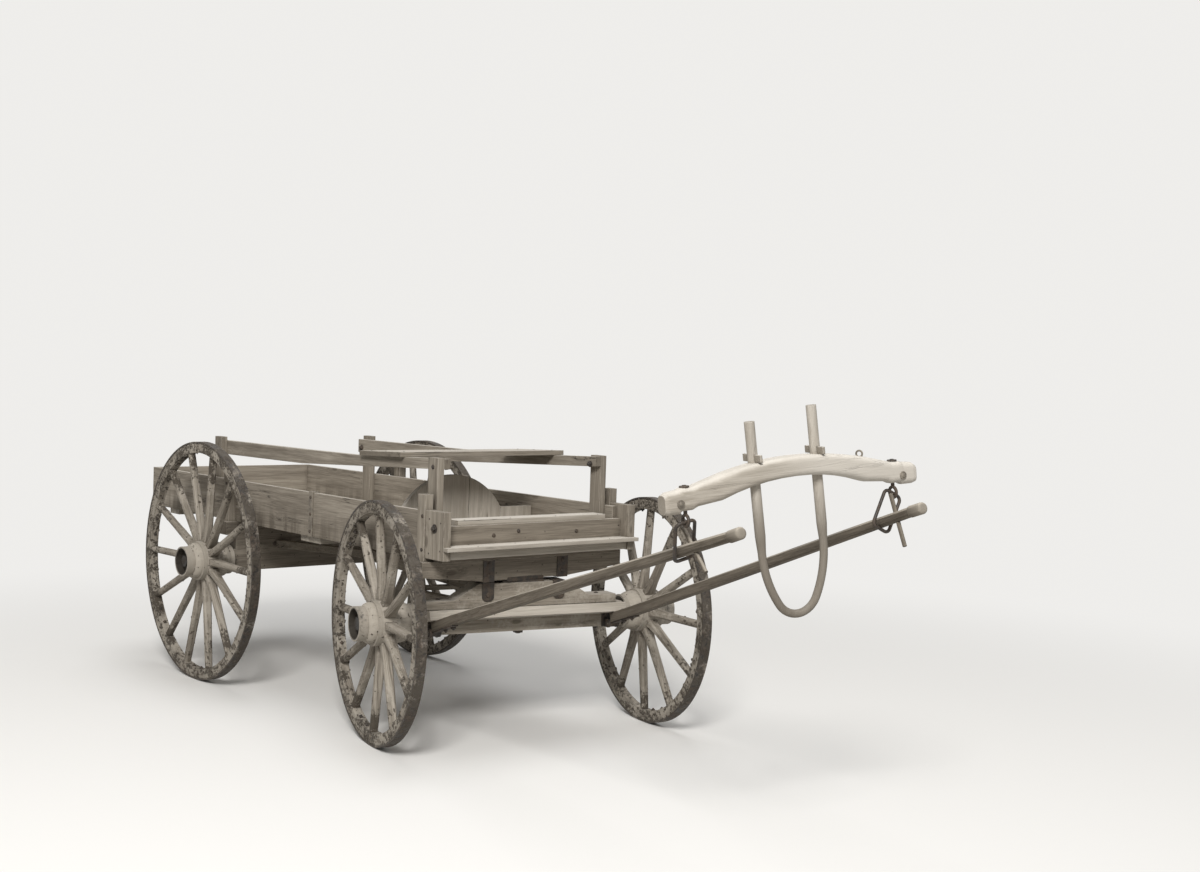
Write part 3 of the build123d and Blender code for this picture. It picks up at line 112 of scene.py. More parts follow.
def feed(tree, socket, value):
    """Set a socket to a plain value or link it to another socket."""
    if isinstance(value, bpy.types.NodeSocket):
        tree.links.new(value, socket)
    elif isinstance(value, tuple) and socket.type == "RGBA":
        socket.default_value = (*value, 1.0)
    else:
        socket.default_value = value


def give(tree, sockets, **values):
    for name, value in values.items():
        feed(tree, sockets[name], value)


def outputs_of(tree, kind, *values, **settings):
    """The outputs of a new node whose first inputs have these values."""
    node = add_node(tree, kind, **settings)
    for socket, value in zip(node.inputs, values):
        feed(tree, socket, value)
    return node.outputs


def calculate(tree, operation, *values):
    return outputs_of(tree, "ShaderNodeMath", *values, operation=operation)[0]


def add(tree, a, b):
    return calculate(tree, "ADD", a, b)


def times(tree, a, b):
    return calculate(tree, "MULTIPLY", a, b)


def less(tree, a, b):
    return calculate(tree, "SUBTRACT", a, b)


def ramp(tree, value, low, high):
    """0 below low and 1 above high, smooth between."""
    return outputs_of(
        tree, "ShaderNodeMapRange", value, low, high, interpolation_type="SMOOTHSTEP"
    )["Result"]


def blend(tree, share, a, b):
    node = add_node(tree, "ShaderNodeMix", data_type="RGBA")
    for socket, value in ((node.inputs[0], share), (node.inputs[6], a), (node.inputs[7], b)):
        feed(tree, socket, value)
    return node.outputs[2]


def tint(tree, colour, mask, share, tone):
    """A tone over a colour where a mask says, to a share at most."""
    return blend(tree, times(tree, mask, share), colour, tone)


def noise(tree, vector, scale, detail=4.0, rough=0.55):
    node = add_node(tree, "ShaderNodeTexNoise")
    give(tree, node.inputs, Vector=vector, Scale=scale, Detail=detail, Roughness=rough)
    return node.outputs[0]


def stretched(tree, vector, factors):
    return outputs_of(tree, "ShaderNodeVectorMath", vector, factors, operation="MULTIPLY")[0]


def moved(tree, vector, shift):
    return outputs_of(tree, "ShaderNodeVectorMath", vector, shift, operation="ADD")[0]


def joined(tree, x, y, z):
    return outputs_of(tree, "ShaderNodeCombineXYZ", x, y, z)[0]


def parted(tree, vector):
    return outputs_of(tree, "ShaderNodeSeparateXYZ", vector)


def object_place(tree):
    return add_node(tree, "ShaderNodeTexCoord").outputs["Object"]


def object_direction(tree):
    return add_node(tree, "ShaderNodeTexCoord").outputs["Normal"]


def seen_from(tree, vector, turns, origin=(0, 0, 0)):
    """A place or a direction as a frame with these turns and this origin has it."""
    return outputs_of(tree, "ShaderNodeMapping", vector, origin, turns, vector_type="TEXTURE")[0]


def new_group(name, inputs, outputs):
    """A group of nodes with these sockets."""
    group = bpy.data.node_groups.new(name, "ShaderNodeTree")
    for sockets, way in ((inputs, "INPUT"), (outputs, "OUTPUT")):
        for socket in sockets.split():
            kind = KINDS.get(socket, "NodeSocketFloat")
            group.interface.new_socket(name=socket, in_out=way, socket_type=kind)
    return group, group.nodes.new("NodeGroupInput").outputs, group.nodes.new("NodeGroupOutput").inputs


def place_group(tree, group, **values):
    """A shared effect in a material, with this material's own values."""
    node = add_node(tree, "ShaderNodeGroup", node_tree=group)
    give(tree, node.inputs, **values)
    return node.outputs


# Growth rings of a sawn end, 5.5 mm apart, as radians a metre
RING_PHASE = 1150.0


# Effects that several materials share
def make_timber_grain():
    """Grain along X: fibres, growth bands, stains, knots and drying cracks, new for each number."""
    outputs = "Fibre Stain Crack Knot Tone Height"
    group, given, result = new_group("timber_grain", "Vector Number", outputs)
    number = given["Number"]
    shift = joined(group, times(group, number, 3.7), times(group, number, 1.93), times(group, number, 1.31))
    place = moved(group, given["Vector"], shift)
    knots = add_node(group, "ShaderNodeTexVoronoi")
    give(group, knots.inputs, Vector=stretched(group, place, (2.2, 6.0, 6.0)), Scale=1.0)
    away = knots.outputs["Distance"]
    swirl = less(group, 1.0, ramp(group, away, 0.04, 0.26))
    core = less(group, 1.0, ramp(group, away, 0.045, 0.085))
    sway = times(group, noise(group, stretched(group, place, (1.1, 3.0, 3.0)), 1.0, 2.0), 0.035)
    bend = add(group, times(group, swirl, 0.016), sway)
    bent = moved(group, place, joined(group, 0.0, bend, bend))
    fine = noise(group, stretched(group, bent, (6.5, 250.0, 250.0)), 1.0, 4.0, 0.6)
    band = noise(group, stretched(group, bent, (1.3, 36.0, 36.0)), 1.0, 3.0, 0.55)
    fibre = add(group, times(group, fine, 0.52), times(group, band, 0.48))
    line = calculate(group, "ABSOLUTE", less(group, band, 0.47))
    torn = ramp(group, noise(group, stretched(group, place, (1.7, 8.0, 8.0)), 1.0, 2.0), 0.54, 0.64)
    crack = times(group, less(group, 1.0, ramp(group, line, 0.003, 0.015)), torn)
    stain = noise(group, stretched(group, place, (1.2, 4.2, 4.2)), 1.0, 4.0, 0.6)
    own = add_node(group, "ShaderNodeTexWhiteNoise", noise_dimensions="1D")
    feed(group, own.inputs["W"], number)
    give(
        group, result,
        Fibre=ramp(group, fibre, 0.32, 0.69),
        Stain=ramp(group, stain, 0.40, 0.70),
        Crack=crack,
        Knot=core,
        Tone=own.outputs["Value"],
        Height=less(group, fibre, times(group, crack, 0.7)),
    )
    return group


def make_end_grain():
    """Growth rings on a sawn end, where the face looks along the grain."""
    group, given, result = new_group("end_grain", "Vector Facing", "Mask Ring")
    across, up = parted(group, given["Vector"])[1:]
    from_heart_y, from_heart_z = add(group, across, 0.03), add(group, up, 0.02)
    square = add(group, times(group, from_heart_y, from_heart_y), times(group, from_heart_z, from_heart_z))
    wobble = times(group, noise(group, given["Vector"], 22.0, 3.0), 0.02)
    radius = add(group, calculate(group, "SQRT", square), wobble)
    rings = calculate(group, "SINE", times(group, radius, RING_PHASE))
    mask = ramp(group, calculate(group, "ABSOLUTE", given["Facing"]), 0.72, 0.94)
    give(group, result, Mask=mask, Ring=ramp(group, rings, -1.0, 1.0))
    return group


def make_worn_edges():
    """Edges rubbed bare, and the rounded normal that goes with them."""
    group, given, result = new_group("worn_edges", "Vector Radius", "Mask Normal")
    rounded = outputs_of(group, "ShaderNodeBevel", given["Radius"], samples=6)[0]
    sharp = add_node(group, "ShaderNodeNewGeometry").outputs["Normal"]
    dot = outputs_of(group, "ShaderNodeVectorMath", rounded, sharp, operation="DOT_PRODUCT")
    edge = less(group, 1.0, dot["Value"])
    patches = noise(group, given["Vector"], 18.0, 4.0, 0.6)
    mask = times(group, ramp(group, edge, 0.02, 0.22), ramp(group, patches, 0.34, 0.60))
    give(group, result, Mask=mask, Normal=rounded)
    return group


def make_top_light_and_bleach():
    """Faces that look up, made paler: painted top light together with bleaching by sun and rain."""
    group, given, result = new_group("lit_tops_and_bleach", "Vector", "Mask")
    upwards = parted(group, object_direction(group))[2]
    patches = ramp(group, noise(group, given["Vector"], 4.0, 5.0, 0.65), 0.25, 0.60)
    strength = add(group, times(group, patches, 0.4), 0.6)
    give(group, result, Mask=times(group, ramp(group, upwards, 0.25, 0.85), strength))
    return group


def make_painted_corner_shade():
    """Painted shade: darker in corners and where pieces meet, found by ambient occlusion, broken into
    patches.
    """
    group, given, result = new_group("corner_shade_group", "Vector", "Mask")
    nearness = add_node(group, "ShaderNodeAmbientOcclusion", samples=4)
    nearness.inputs["Distance"].default_value = 0.06
    corner = ramp(group, less(group, 1.0, nearness.outputs["AO"]), 0.20, 0.75)
    patches = ramp(group, noise(group, given["Vector"], 12.0, 4.0, 0.6), 0.30, 0.62)
    give(group, result, Mask=times(group, corner, add(group, times(group, patches, 0.6), 0.4)))
    return group


def make_road_mud():
    """Road mud: a dried pale film, damp dark splashes and the relief of both."""
    group, given, result = new_group("road_mud", "Vector Film Splash", "Film Splash Height")
    broad = noise(group, given["Vector"], 7.0, 5.0, 0.6)
    fine = noise(group, given["Vector"], 70.0, 5.0, 0.65)
    drift = noise(group, moved(group, given["Vector"], (3.1, 1.7, 0.9)), 13.0, 4.0, 0.6)
    cover = add(group, times(group, broad, 0.7), times(group, fine, 0.3))
    film = ramp(group, add(group, cover, less(group, given["Film"], 0.5)), 0.44, 0.62)
    level = less(group, given["Splash"], 0.5)
    drops = add(group, times(group, drift, 0.6), times(group, fine, 0.4))
    patches = ramp(group, add(group, drops, level), 0.52, 0.58)
    specks = noise(group, moved(group, given["Vector"], (0.7, 2.9, 1.3)), 48.0, 2.0, 0.5)
    spots = ramp(group, add(group, specks, times(group, level, 0.5)), 0.615, 0.640)
    splash = calculate(group, "MAXIMUM", patches, spots)
    relief = add(group, times(group, film, 0.35), splash)
    give(group, result, Film=film, Splash=splash, Height=times(group, relief, add(group, fine, 0.3)))
    return group


def make_forged_rust():
    """Dark hammered iron with a thin brown rust."""
    group, given, result = new_group("forged_rust", "Vector Dark Rust", "Colour Roughness Height")
    hammered = noise(group, given["Vector"], 28.0, 4.0, 0.55)
    scale = noise(group, given["Vector"], 190.0, 4.0, 0.65)
    rust = ramp(group, add(group, times(group, hammered, 0.6), times(group, scale, 0.4)), 0.42, 0.60)
    give(
        group, result,
        Colour=blend(group, rust, given["Dark"], given["Rust"]),
        Roughness=add(group, times(group, rust, 0.30), 0.48),
        Height=add(group, times(group, hammered, 0.5), times(group, scale, 0.5)),
    )
    return group


TIMBER_GRAIN = make_timber_grain()
END_GRAIN = make_end_grain()
WORN_EDGES = make_worn_edges()
# Painted top light, with sun bleaching, for faces that look up
TOP_LIGHT_AND_BLEACH = make_top_light_and_bleach()
# Painted shade for corners and joins
PAINTED_CORNER_SHADE = make_painted_corner_shade()
ROAD_MUD = make_road_mud()
FORGED_RUST = make_forged_rust()

# Tones of bare timber
Tones = namedtuple("Tones", "dark light stain worn bleached crack")
BOARD = Tones(
    (0.190, 0.164, 0.132), (0.425, 0.380, 0.318), (0.120, 0.101, 0.079),
    (0.560, 0.512, 0.444), (0.590, 0.545, 0.482), (0.022, 0.018, 0.014),
)
FRONTBOARD = Tones(
    (0.150, 0.128, 0.101), (0.330, 0.290, 0.238), (0.100, 0.084, 0.065),
    (0.520, 0.472, 0.405), (0.560, 0.515, 0.452), (0.020, 0.016, 0.013),
)
PALEBOARD = Tones(
    (0.360, 0.323, 0.272), (0.600, 0.556, 0.492), (0.240, 0.209, 0.169),
    (0.640, 0.595, 0.530), (0.660, 0.618, 0.556), (0.040, 0.033, 0.026),
)
UNDERGEAR = Tones(
    (0.150, 0.128, 0.102), (0.360, 0.318, 0.262), (0.095, 0.079, 0.061),
    (0.500, 0.452, 0.386), (0.520, 0.474, 0.410), (0.020, 0.016, 0.013),
)
WHEELWOOD = Tones(
    (0.160, 0.137, 0.109), (0.480, 0.434, 0.370), (0.105, 0.088, 0.069),
    (0.600, 0.554, 0.488), (0.500, 0.456, 0.392), (0.022, 0.018, 0.014),
)
POLE = Tones(
    (0.085, 0.071, 0.055), (0.215, 0.185, 0.147), (0.065, 0.053, 0.041),
    (0.460, 0.412, 0.346), (0.480, 0.433, 0.368), (0.018, 0.014, 0.011),
)
YOKEWOOD = Tones(
    (0.330, 0.294, 0.245), (0.560, 0.517, 0.455), (0.210, 0.182, 0.147),
    (0.650, 0.608, 0.545), (0.720, 0.680, 0.618), (0.080, 0.066, 0.051),
)
BOWWOOD = YOKEWOOD._replace(dark=(0.430, 0.392, 0.338), light=(0.680, 0.638, 0.574))

# Tones of iron
IronTones = namedtuple("IronTones", "dark rust worn")
BARE_IRON = IronTones((0.036, 0.031, 0.027), (0.098, 0.074, 0.056), (0.200, 0.176, 0.150))
# Near-black iron: grease, darkened further as painted shade for the axle arms inside the hubs
SHADED_GREASY_IRON = IronTones((0.014, 0.012, 0.010), (0.036, 0.028, 0.021), (0.070, 0.058, 0.047))
STRAP_IRON = IronTones((0.150, 0.130, 0.105), (0.270, 0.238, 0.195), (0.420, 0.378, 0.320))
DUSTY_IRON = IronTones((0.150, 0.130, 0.105), (0.290, 0.257, 0.212), (0.420, 0.378, 0.320))

# Tones of dirt
DRY_MUD = (0.450, 0.409, 0.350)
DAMP_MUD = (0.075, 0.062, 0.048)
CLOD_CREST = (0.230, 0.201, 0.163)
SOIL = (0.150, 0.128, 0.102)
# Near-black of grease, also used as painted shade inside the hubs' recesses
GREASE_AND_RECESS_SHADE = (0.022, 0.018, 0.014)

# How the grain lies: a place on it, the piece's number, how far a face looks along it, the wheel's radius
Laid = namedtuple("Laid", "place number facing radius")


def straight_grain(turns, pieces=(0, 0, 0)):
    """Grain along one direction; pieces gives how many boards or blocks a metre holds each way."""

    def lay(tree):
        plain = object_place(tree)
        parts = parted(tree, stretched(tree, moved(tree, plain, -KING), pieces))
        counts = [calculate(tree, "FLOOR", add(tree, part, 0.5)) for part in parts]
        number = add(tree, times(tree, counts[0], 5.0), add(tree, counts[1], times(tree, counts[2], 11.0)))
        facing = parted(tree, seen_from(tree, object_direction(tree), turns))[0]
        return Laid(seen_from(tree, plain, turns, KING), number, facing, None)

    return lay


def wheel_place(tree, wheel):
    """Forward, across and up from the wheel's middle, and the distance from its axle line."""
    x, y, z = parted(tree, seen_from(tree, object_place(tree), wheel.frame.to_euler(), wheel.centre))
    return x, y, z, calculate(tree, "SQRT", add(tree, times(tree, x, x), times(tree, z, z)))


def spoke_grain(wheel):
    """Grain along each spoke, from the hub outwards."""
    step = 2 * pi / wheel.spokes

    def lay(tree):
        x, y, z, radius = wheel_place(tree, wheel)
        angle = calculate(tree, "ARCTAN2", z, x)
        number = calculate(tree, "FLOOR", add(tree, calculate(tree, "DIVIDE", angle, step), 0.5))
        across = times(tree, radius, less(tree, angle, times(tree, number, step)))
        return Laid(joined(tree, radius, across, y), number, None, radius)

    return lay


def felloe_grain(wheel):
    """Grain round the rim, new for each felloe."""
    step = 4 * pi / wheel.spokes
    first = -wheel.side * pi / wheel.spokes

    def lay(tree):
        x, y, z, radius = wheel_place(tree, wheel)
        angle = calculate(tree, "ARCTAN2", z, x)
        number = calculate(tree, "FLOOR", calculate(tree, "DIVIDE", less(tree, angle, first), step))
        return Laid(joined(tree, times(tree, angle, wheel.radius), radius, y), number, None, radius)

    return lay


def hub_grain(wheel):
    """Grain along the axle; the hub's outer end shows end grain."""

    def lay(tree):
        x, y, z, radius = wheel_place(tree, wheel)
        facing = parted(tree, seen_from(tree, object_direction(tree), wheel.frame.to_euler()))[1]
        return Laid(joined(tree, y, x, z), 0.0, facing, radius)

    return lay


def new_material(name):
    material = bpy.data.materials.new(name)
    material.use_nodes = True
    return material, material.node_tree, material.node_tree.nodes["Principled BSDF"]


def set_surface(tree, shader, colour, rough, height, strength, depth, normal):
    """Colour, roughness and the relief of a height, which is as deep as strength and depth say."""
    bump = add_node(tree, "ShaderNodeBump")
    give(tree, bump.inputs, Strength=strength, Distance=depth, Height=height, Normal=normal)
    give(tree, shader.inputs, Roughness=rough, Normal=bump.outputs[0])
    feed(tree, shader.inputs["Base Color"], colour)


def timber(name, tones, lay, film=0.0, splash=0.0, spread=None, bleach=0.85, cracks=0.8, end=0.7,
           relief=0.55, uneven=0.22, greasy_shaded_radii=None, soiled=None, tips=None, dripped=None):
    """Old bare timber; spread and the reach of the grease and painted recess shade are radii, soiled and
    dripped heights, tips are along the grain.
    """
    material, tree, shader = new_material(name)
    laid = lay(tree)
    plain = object_place(tree)
    grain = place_group(tree, TIMBER_GRAIN, Vector=laid.place, Number=laid.number)
    colour = blend(tree, grain["Fibre"], tones.dark, tones.light)
    colour = tint(tree, colour, grain["Stain"], 0.42, tones.stain)
    colour = tint(tree, colour, grain["Tone"], uneven, tones.dark)
    # Upward faces paler: painted top light along with sun bleaching
    if bleach:
        lit_and_bleached_tops = place_group(tree, TOP_LIGHT_AND_BLEACH, Vector=plain)
        colour = tint(tree, colour, lit_and_bleached_tops["Mask"], bleach, tones.bleached)
    if laid.facing is not None:
        sawn = place_group(tree, END_GRAIN, Vector=laid.place, Facing=laid.facing)
        rings = blend(tree, sawn["Ring"], tones.dark, tones.stain)
        colour = tint(tree, colour, sawn["Mask"], end, rings)
    # Painted shade in corners and where pieces meet, in the stain tone
    painted_shade = place_group(tree, PAINTED_CORNER_SHADE, Vector=plain)
    colour = tint(tree, colour, painted_shade["Mask"], 0.75, tones.stain)
    edges = place_group(tree, WORN_EDGES, Vector=plain, Radius=0.005)
    colour = tint(tree, colour, edges["Mask"], 0.7, tones.worn)
    colour = tint(tree, colour, grain["Knot"], 0.7, tones.stain)
    colour = tint(tree, colour, grain["Crack"], cracks, tones.crack)
    if tips:
        along = add(tree, parted(tree, laid.place)[0], times(tree, grain["Stain"], 0.06))
        colour = tint(tree, colour, ramp(tree, along, *tips), 0.65, tones.bleached)
    if soiled:
        above = add(tree, parted(tree, plain)[2], times(tree, grain["Stain"], 0.05))
        colour = tint(tree, colour, less(tree, 1.0, ramp(tree, above, *soiled)), 0.8, SOIL)
    if dripped:
        lower = less(tree, 1.0, ramp(tree, parted(tree, plain)[2], *dripped))
        runs = ramp(tree, noise(tree, stretched(tree, plain, (15.0, 15.0, 1.8)), 1.0, 4.0, 0.6), 0.40, 0.62)
        colour = tint(tree, colour, times(tree, lower, runs), 0.75, tones.stain)
    height = grain["Height"]
    rough = less(tree, 0.92, times(tree, grain["Fibre"], 0.14))
    if film or splash:
        if spread:
            outwards = ramp(tree, laid.radius, *spread)
            splash = add(tree, times(tree, outwards, 0.30), splash - 0.15)
        mud = place_group(tree, ROAD_MUD, Vector=plain, Film=film, Splash=splash)
        colour = tint(tree, colour, mud["Film"], 0.80, DRY_MUD)
        colour = tint(tree, colour, mud["Splash"], 0.90, DAMP_MUD)
        height = add(tree, height, times(tree, mud["Height"], 1.6))
    # Grease round the axle line, near-black, which also paints the shade inside the hub's recess
    if greasy_shaded_radii:
        black = less(tree, 1.0, ramp(tree, laid.radius, *greasy_shaded_radii))
        colour = tint(tree, colour, black, 0.92, GREASE_AND_RECESS_SHADE)
        rough = less(tree, rough, times(tree, black, 0.35))
    shader.inputs["Specular IOR Level"].default_value = 0.25
    set_surface(tree, shader, colour, rough, height, relief, 0.004, edges["Normal"])
    return material


def old_iron(name, tones=BARE_IRON, film=0.0, splash=0.0, relief=0.35):
    """Forged iron, rusty, rubbed at its edges, with road mud where it gets any."""
    material, tree, shader = new_material(name)
    plain = object_place(tree)
    forged = place_group(tree, FORGED_RUST, Vector=plain, Dark=tones.dark, Rust=tones.rust)
    edges = place_group(tree, WORN_EDGES, Vector=plain, Radius=0.003)
    colour = tint(tree, forged["Colour"], edges["Mask"], 0.65, tones.worn)
    height = forged["Height"]
    rough = forged["Roughness"]
    if film or splash:
        mud = place_group(tree, ROAD_MUD, Vector=plain, Film=film, Splash=splash)
        colour = tint(tree, colour, mud["Film"], 0.85, DRY_MUD)
        colour = tint(tree, colour, mud["Splash"], 0.92, DAMP_MUD)
        rough = add(tree, rough, times(tree, mud["Film"], 0.25))
        height = add(tree, height, times(tree, mud["Height"], 2.5))
    shader.inputs["Metallic"].default_value = 0.3
    set_surface(tree, shader, colour, rough, height, relief, 0.002, edges["Normal"])
    return material


def clod_material():
    """Lumps of road mud, damp and dark inside, dried pale on their crests."""
    material, tree, shader = new_material("mud_clods")
    plain = object_place(tree)
    coarse = noise(tree, plain, 60.0, 4.0, 0.6)
    fine = noise(tree, plain, 320.0, 4.0, 0.65)
    edges = place_group(tree, WORN_EDGES, Vector=plain, Radius=0.004)
    dry = ramp(tree, add(tree, times(tree, coarse, 0.7), times(tree, fine, 0.3)), 0.46, 0.60)
    colour = blend(tree, dry, DAMP_MUD, CLOD_CREST)
    colour = tint(tree, colour, edges["Mask"], 0.4, DRY_MUD)
    rough = add(tree, times(tree, dry, 0.2), 0.75)
    set_surface(tree, shader, colour, rough, add(tree, coarse, fine), 0.6, 0.003, edges["Normal"])
    return material


FORGED = old_iron("forged_iron")
DUSTY = old_iron("dusty_iron", DUSTY_IRON)
CLODS = clod_material()

# Finish of the pieces that the solids give: how the grain is turned in them
ALONG, ACROSS, UPRIGHT = (0, 0, 0), (0, 0, QUARTER), (0, -QUARTER, 0)
GEAR_ALONG, GEAR_ACROSS = (0, 0, HEADING), (0, 0, HEADING + QUARTER)
SHAFT_ALONG = (0, -SHAFT_PITCH, HEADING)
YOKE_ALONG = (0, -YOKE_TILT, HEADING + QUARTER)
YOKE_UPRIGHT = (0, -QUARTER, HEADING)

# Columns: material, tones, grain, boards or blocks a metre each way, mud film, mud splash, cracks, nodes
BOARDS = (
    ("floor_wood", BOARD, ALONG, (0, 1 / 0.2048, 0), 0.36, 0.24, 0.8, ("floor_boards",)),
    ("rail_wood", BOARD, ALONG, (0, 1.1, 0), 0.0, 0.0, 0.9, ("side_rails",)),
    ("tail_board_wood", BOARD, ACROSS, (0, 0, 0), 0.0, 0.20, 0.75, ("tail_board",)),
    ("front_board_wood", FRONTBOARD, ACROSS, (0, 0, 0), 0.0, 0.20, 0.75, ("front_board",)),
    ("tread_wood", PALEBOARD, ACROSS, (9, 0, 9), 0.34, 0.18, 0.6, ("front_step", "foot_plank")),
    ("seat_wood", BOARD, ACROSS, (0, 0, 0), 0.20, 0.0, 0.7, ("seat_plank",)),
    ("head_board_wood", PALEBOARD, UPRIGHT, (0, 1 / 0.204, 0), 0.0, 0.0, 0.7, ("head_board",)),
    ("post_wood", BOARD, UPRIGHT, (0.45, 1.0, 0), 0.0, 0.20, 0.6,
     ("corner_blocks", "rail_posts", "bolster_stakes")),
    ("bolster_wood", UNDERGEAR, ACROSS, (0.5, 0, 0), 0.26, 0.34, 0.8,
     ("front_bolster", "rear_bolster", "rear_axle")),
    ("reach_wood", UNDERGEAR, ALONG, (0, 0, 0), 0.30, 0.36, 0.8, ("reach", "rear_hounds")),
    ("turning_gear_wood", BOARD, GEAR_ACROSS, (0, 0, 8), 0.48, 0.26, 0.8,
     ("front_axle", "sand_board", "sway_bar")),
    ("front_hound_wood", UNDERGEAR, GEAR_ALONG, (0, 2, 0), 0.34, 0.36, 0.8, ("front_hounds",)),
    ("cross_bar_wood", PALEBOARD, GEAR_ACROSS, (0, 0, 0), 0.36, 0.16, 0.5, ("cross_bar",)),
    ("key_wood", YOKEWOOD, YOKE_ALONG, (0, 0, 0), 0.0, 0.0, 0.55, ("bow_keys",)),
    ("peg_wood", POLE, UPRIGHT, (0, 1, 0), 0.0, 0.0, 0.3, ("shaft_pegs",)),
)
IRON_NODES = (
    "bolster_irons", "king_pin", "axle_irons", "shaft_couplings",
    "shaft_irons", "yoke_staples", "shaft_rings",
)
# From full to none: heights of the drips and soil, distance of the grease and painted recess shade from the
# axle line
DRIPS_REACH, SOIL_REACH, GREASE_AND_SHADE_RADII = (0.87, 1.04), (1.20, 1.43), (0.0715, 0.0745)
# From none to full: lengths along the shafts and along the yoke's beam from its middle
BARE_TIPS, PALE_HALF = (2.71, 2.85), (-0.05, 0.30)
CLEAN_SPOKE = 0.15


def dress(material, *dressed):
    for name in dressed:
        node = nodes[name]
        node.data.materials.clear()
        node.data.materials.append(material)


def dress_boards():
    for name, tones, turns, pieces, film, splash, cracks, dressed in BOARDS:
        dress(timber(name, tones, straight_grain(turns, pieces), film, splash, cracks=cracks), *dressed)


def dress_side_boards():
    grain = straight_grain(ALONG, (0, 0.9, 0))
    wood = timber("side_board_wood", BOARD, grain, splash=0.24, cracks=0.75, dripped=DRIPS_REACH)
    dress(wood, "side_board_right", "side_board_left")


def dress_sills():
    # The sills take the pale tones and no dark end grain: painted light, for sun on their protruding ends
    grain = straight_grain(ACROSS, (0.8, 0, 0))
    dress(timber("lit_pale_sill_wood", PALEBOARD, grain, film=0.30, splash=0.16, end=0.0), "floor_sills")


def dress_yoke():
    """The beam, paler in its far half, and the bow, soiled low down."""
    beam_grain = straight_grain(YOKE_ALONG)
    dress(timber("yoke_wood", YOKEWOOD, beam_grain, cracks=0.55, tips=PALE_HALF), "yoke_beam")
    bow_grain = straight_grain(YOKE_UPRIGHT)
    dress(timber("bow_wood", BOWWOOD, bow_grain, cracks=0.3, bleach=0.4, soiled=SOIL_REACH), "yoke_bow")


def dress_shafts():
    grain = straight_grain(SHAFT_ALONG, (0, 0.9, 0))
    dress(timber("shaft_wood", POLE, grain, splash=0.14, tips=BARE_TIPS), "shaft_right", "shaft_left")


def dress_irons():
    dress(FORGED, *IRON_NODES)
    # Axle arms near-black: grease plus painted shade where they sit in the hubs' recesses
    dress(old_iron("shaded_greasy_iron", SHADED_GREASY_IRON), "rear_axle_arms", "front_axle_arms")
    dress(old_iron("strap_iron", STRAP_IRON), "side_straps")


def inside_rim(wheel):
    """Radius of the felloes' inner faces."""
    return wheel.radius - TYRE_THICKNESS - FELLOE_DEPTH


def hub_wood(name, wheel):
    return timber(
        f"{name}_hub_wood", WHEELWOOD, hub_grain(wheel), film=0.62, splash=0.36,
        bleach=0, cracks=0.6, end=0.9, relief=0.8, greasy_shaded_radii=GREASE_AND_SHADE_RADII,
    )


def spoke_wood(name, wheel):
    return timber(
        f"{name}_spoke_wood", WHEELWOOD, spoke_grain(wheel), film=0.46, splash=0.40,
        spread=(CLEAN_SPOKE, inside_rim(wheel)), bleach=0, cracks=0.5, uneven=0.55, relief=0.7,
    )


def felloe_wood(name, wheel):
    return timber(
        f"{name}_felloe_wood", WHEELWOOD, felloe_grain(wheel), film=0.50, splash=0.50,
        bleach=0, cracks=0.6, relief=0.9,
    )


def dress_wheels():
    tyre_iron = old_iron("tyre_iron", film=0.46, splash=0.56, relief=0.8)
    band_iron = old_iron("band_iron", film=0.62, splash=0.36, relief=0.6)
    for name, wheel in WHEELS.items():
        dress(hub_wood(name, wheel), f"{name}_hub")
        dress(spoke_wood(name, wheel), f"{name}_spokes")
        dress(felloe_wood(name, wheel), f"{name}_felloes")
        dress(tyre_iron, f"{name}_tyre")
        dress(band_iron, f"{name}_hub_bands")


# Making of small pieces
WASHER_THICKNESS = 0.0028
ROD_SIDES, EYE_POINTS = 8, 20


def start_piece(seed):
    return random.Random(seed), bmesh.new()


def finish_piece(name, mesh, material, body):
    """Turn a worked mesh into a piece that rides on a body."""
    bmesh.ops.recalc_face_normals(mesh, faces=mesh.faces)
    data = bpy.data.meshes.new(name)
    mesh.to_mesh(data)
    mesh.free()
    data.materials.append(material)
    piece = bpy.data.objects.new(name, data)
    bpy.context.scene.collection.objects.link(piece)
    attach(piece, body)


def seat(base, place, out, turn=0.0):
    """Where a fastener stands: at a place on a surface, its Z outwards."""
    facing = Vector(out).to_track_quat("Z", "Y").to_matrix().to_4x4()
    return base @ Matrix.Translation(place) @ facing @ Matrix.Rotation(turn, 4, "Z")


def any_turn(chance):
    return chance.uniform(0, pi)


def turned(mesh, where, profile, sides, wear, chance):
    """A piece turned about Z from a profile of radius and height, made uneven by its wear."""
    rings = []
    for radius, height in profile:
        if radius == 0:
            rings.append([mesh.verts.new(where @ Vector((0, 0, height)))])
            continue
        ring = []
        for index in range(sides):
            angle = 2 * pi * (index + 0.5) / sides
            rough = 1 + wear * (chance.random() - 0.5)
            point = Vector((radius * rough * cos(angle), radius * rough * sin(angle), height))
            ring.append(mesh.verts.new(where @ point))
        rings.append(ring)
    for low, high in zip(rings, rings[1:]):
        for index in range(sides):
            after = (index + 1) % sides
            if len(low) == 1:
                mesh.faces.new((low[0], high[index], high[after]))
            elif len(high) == 1:
                mesh.faces.new((low[index], low[after], high[0]))
            else:
                mesh.faces.new((low[index], low[after], high[after], high[index]))


def nail_head(mesh, where, chance, radius=0.0042):
    """A cut nail's head, hammered nearly flush."""
    size = radius * chance.uniform(0.85, 1.15)
    tilt = Matrix.Rotation(chance.uniform(-0.12, 0.12), 4, "X")
    profile = ((size, -0.0015), (size, 0.0004), (0.7 * size, 0.0013), (0, 0.0016))
    turned(mesh, where @ tilt, profile, 7, 0.25, chance)


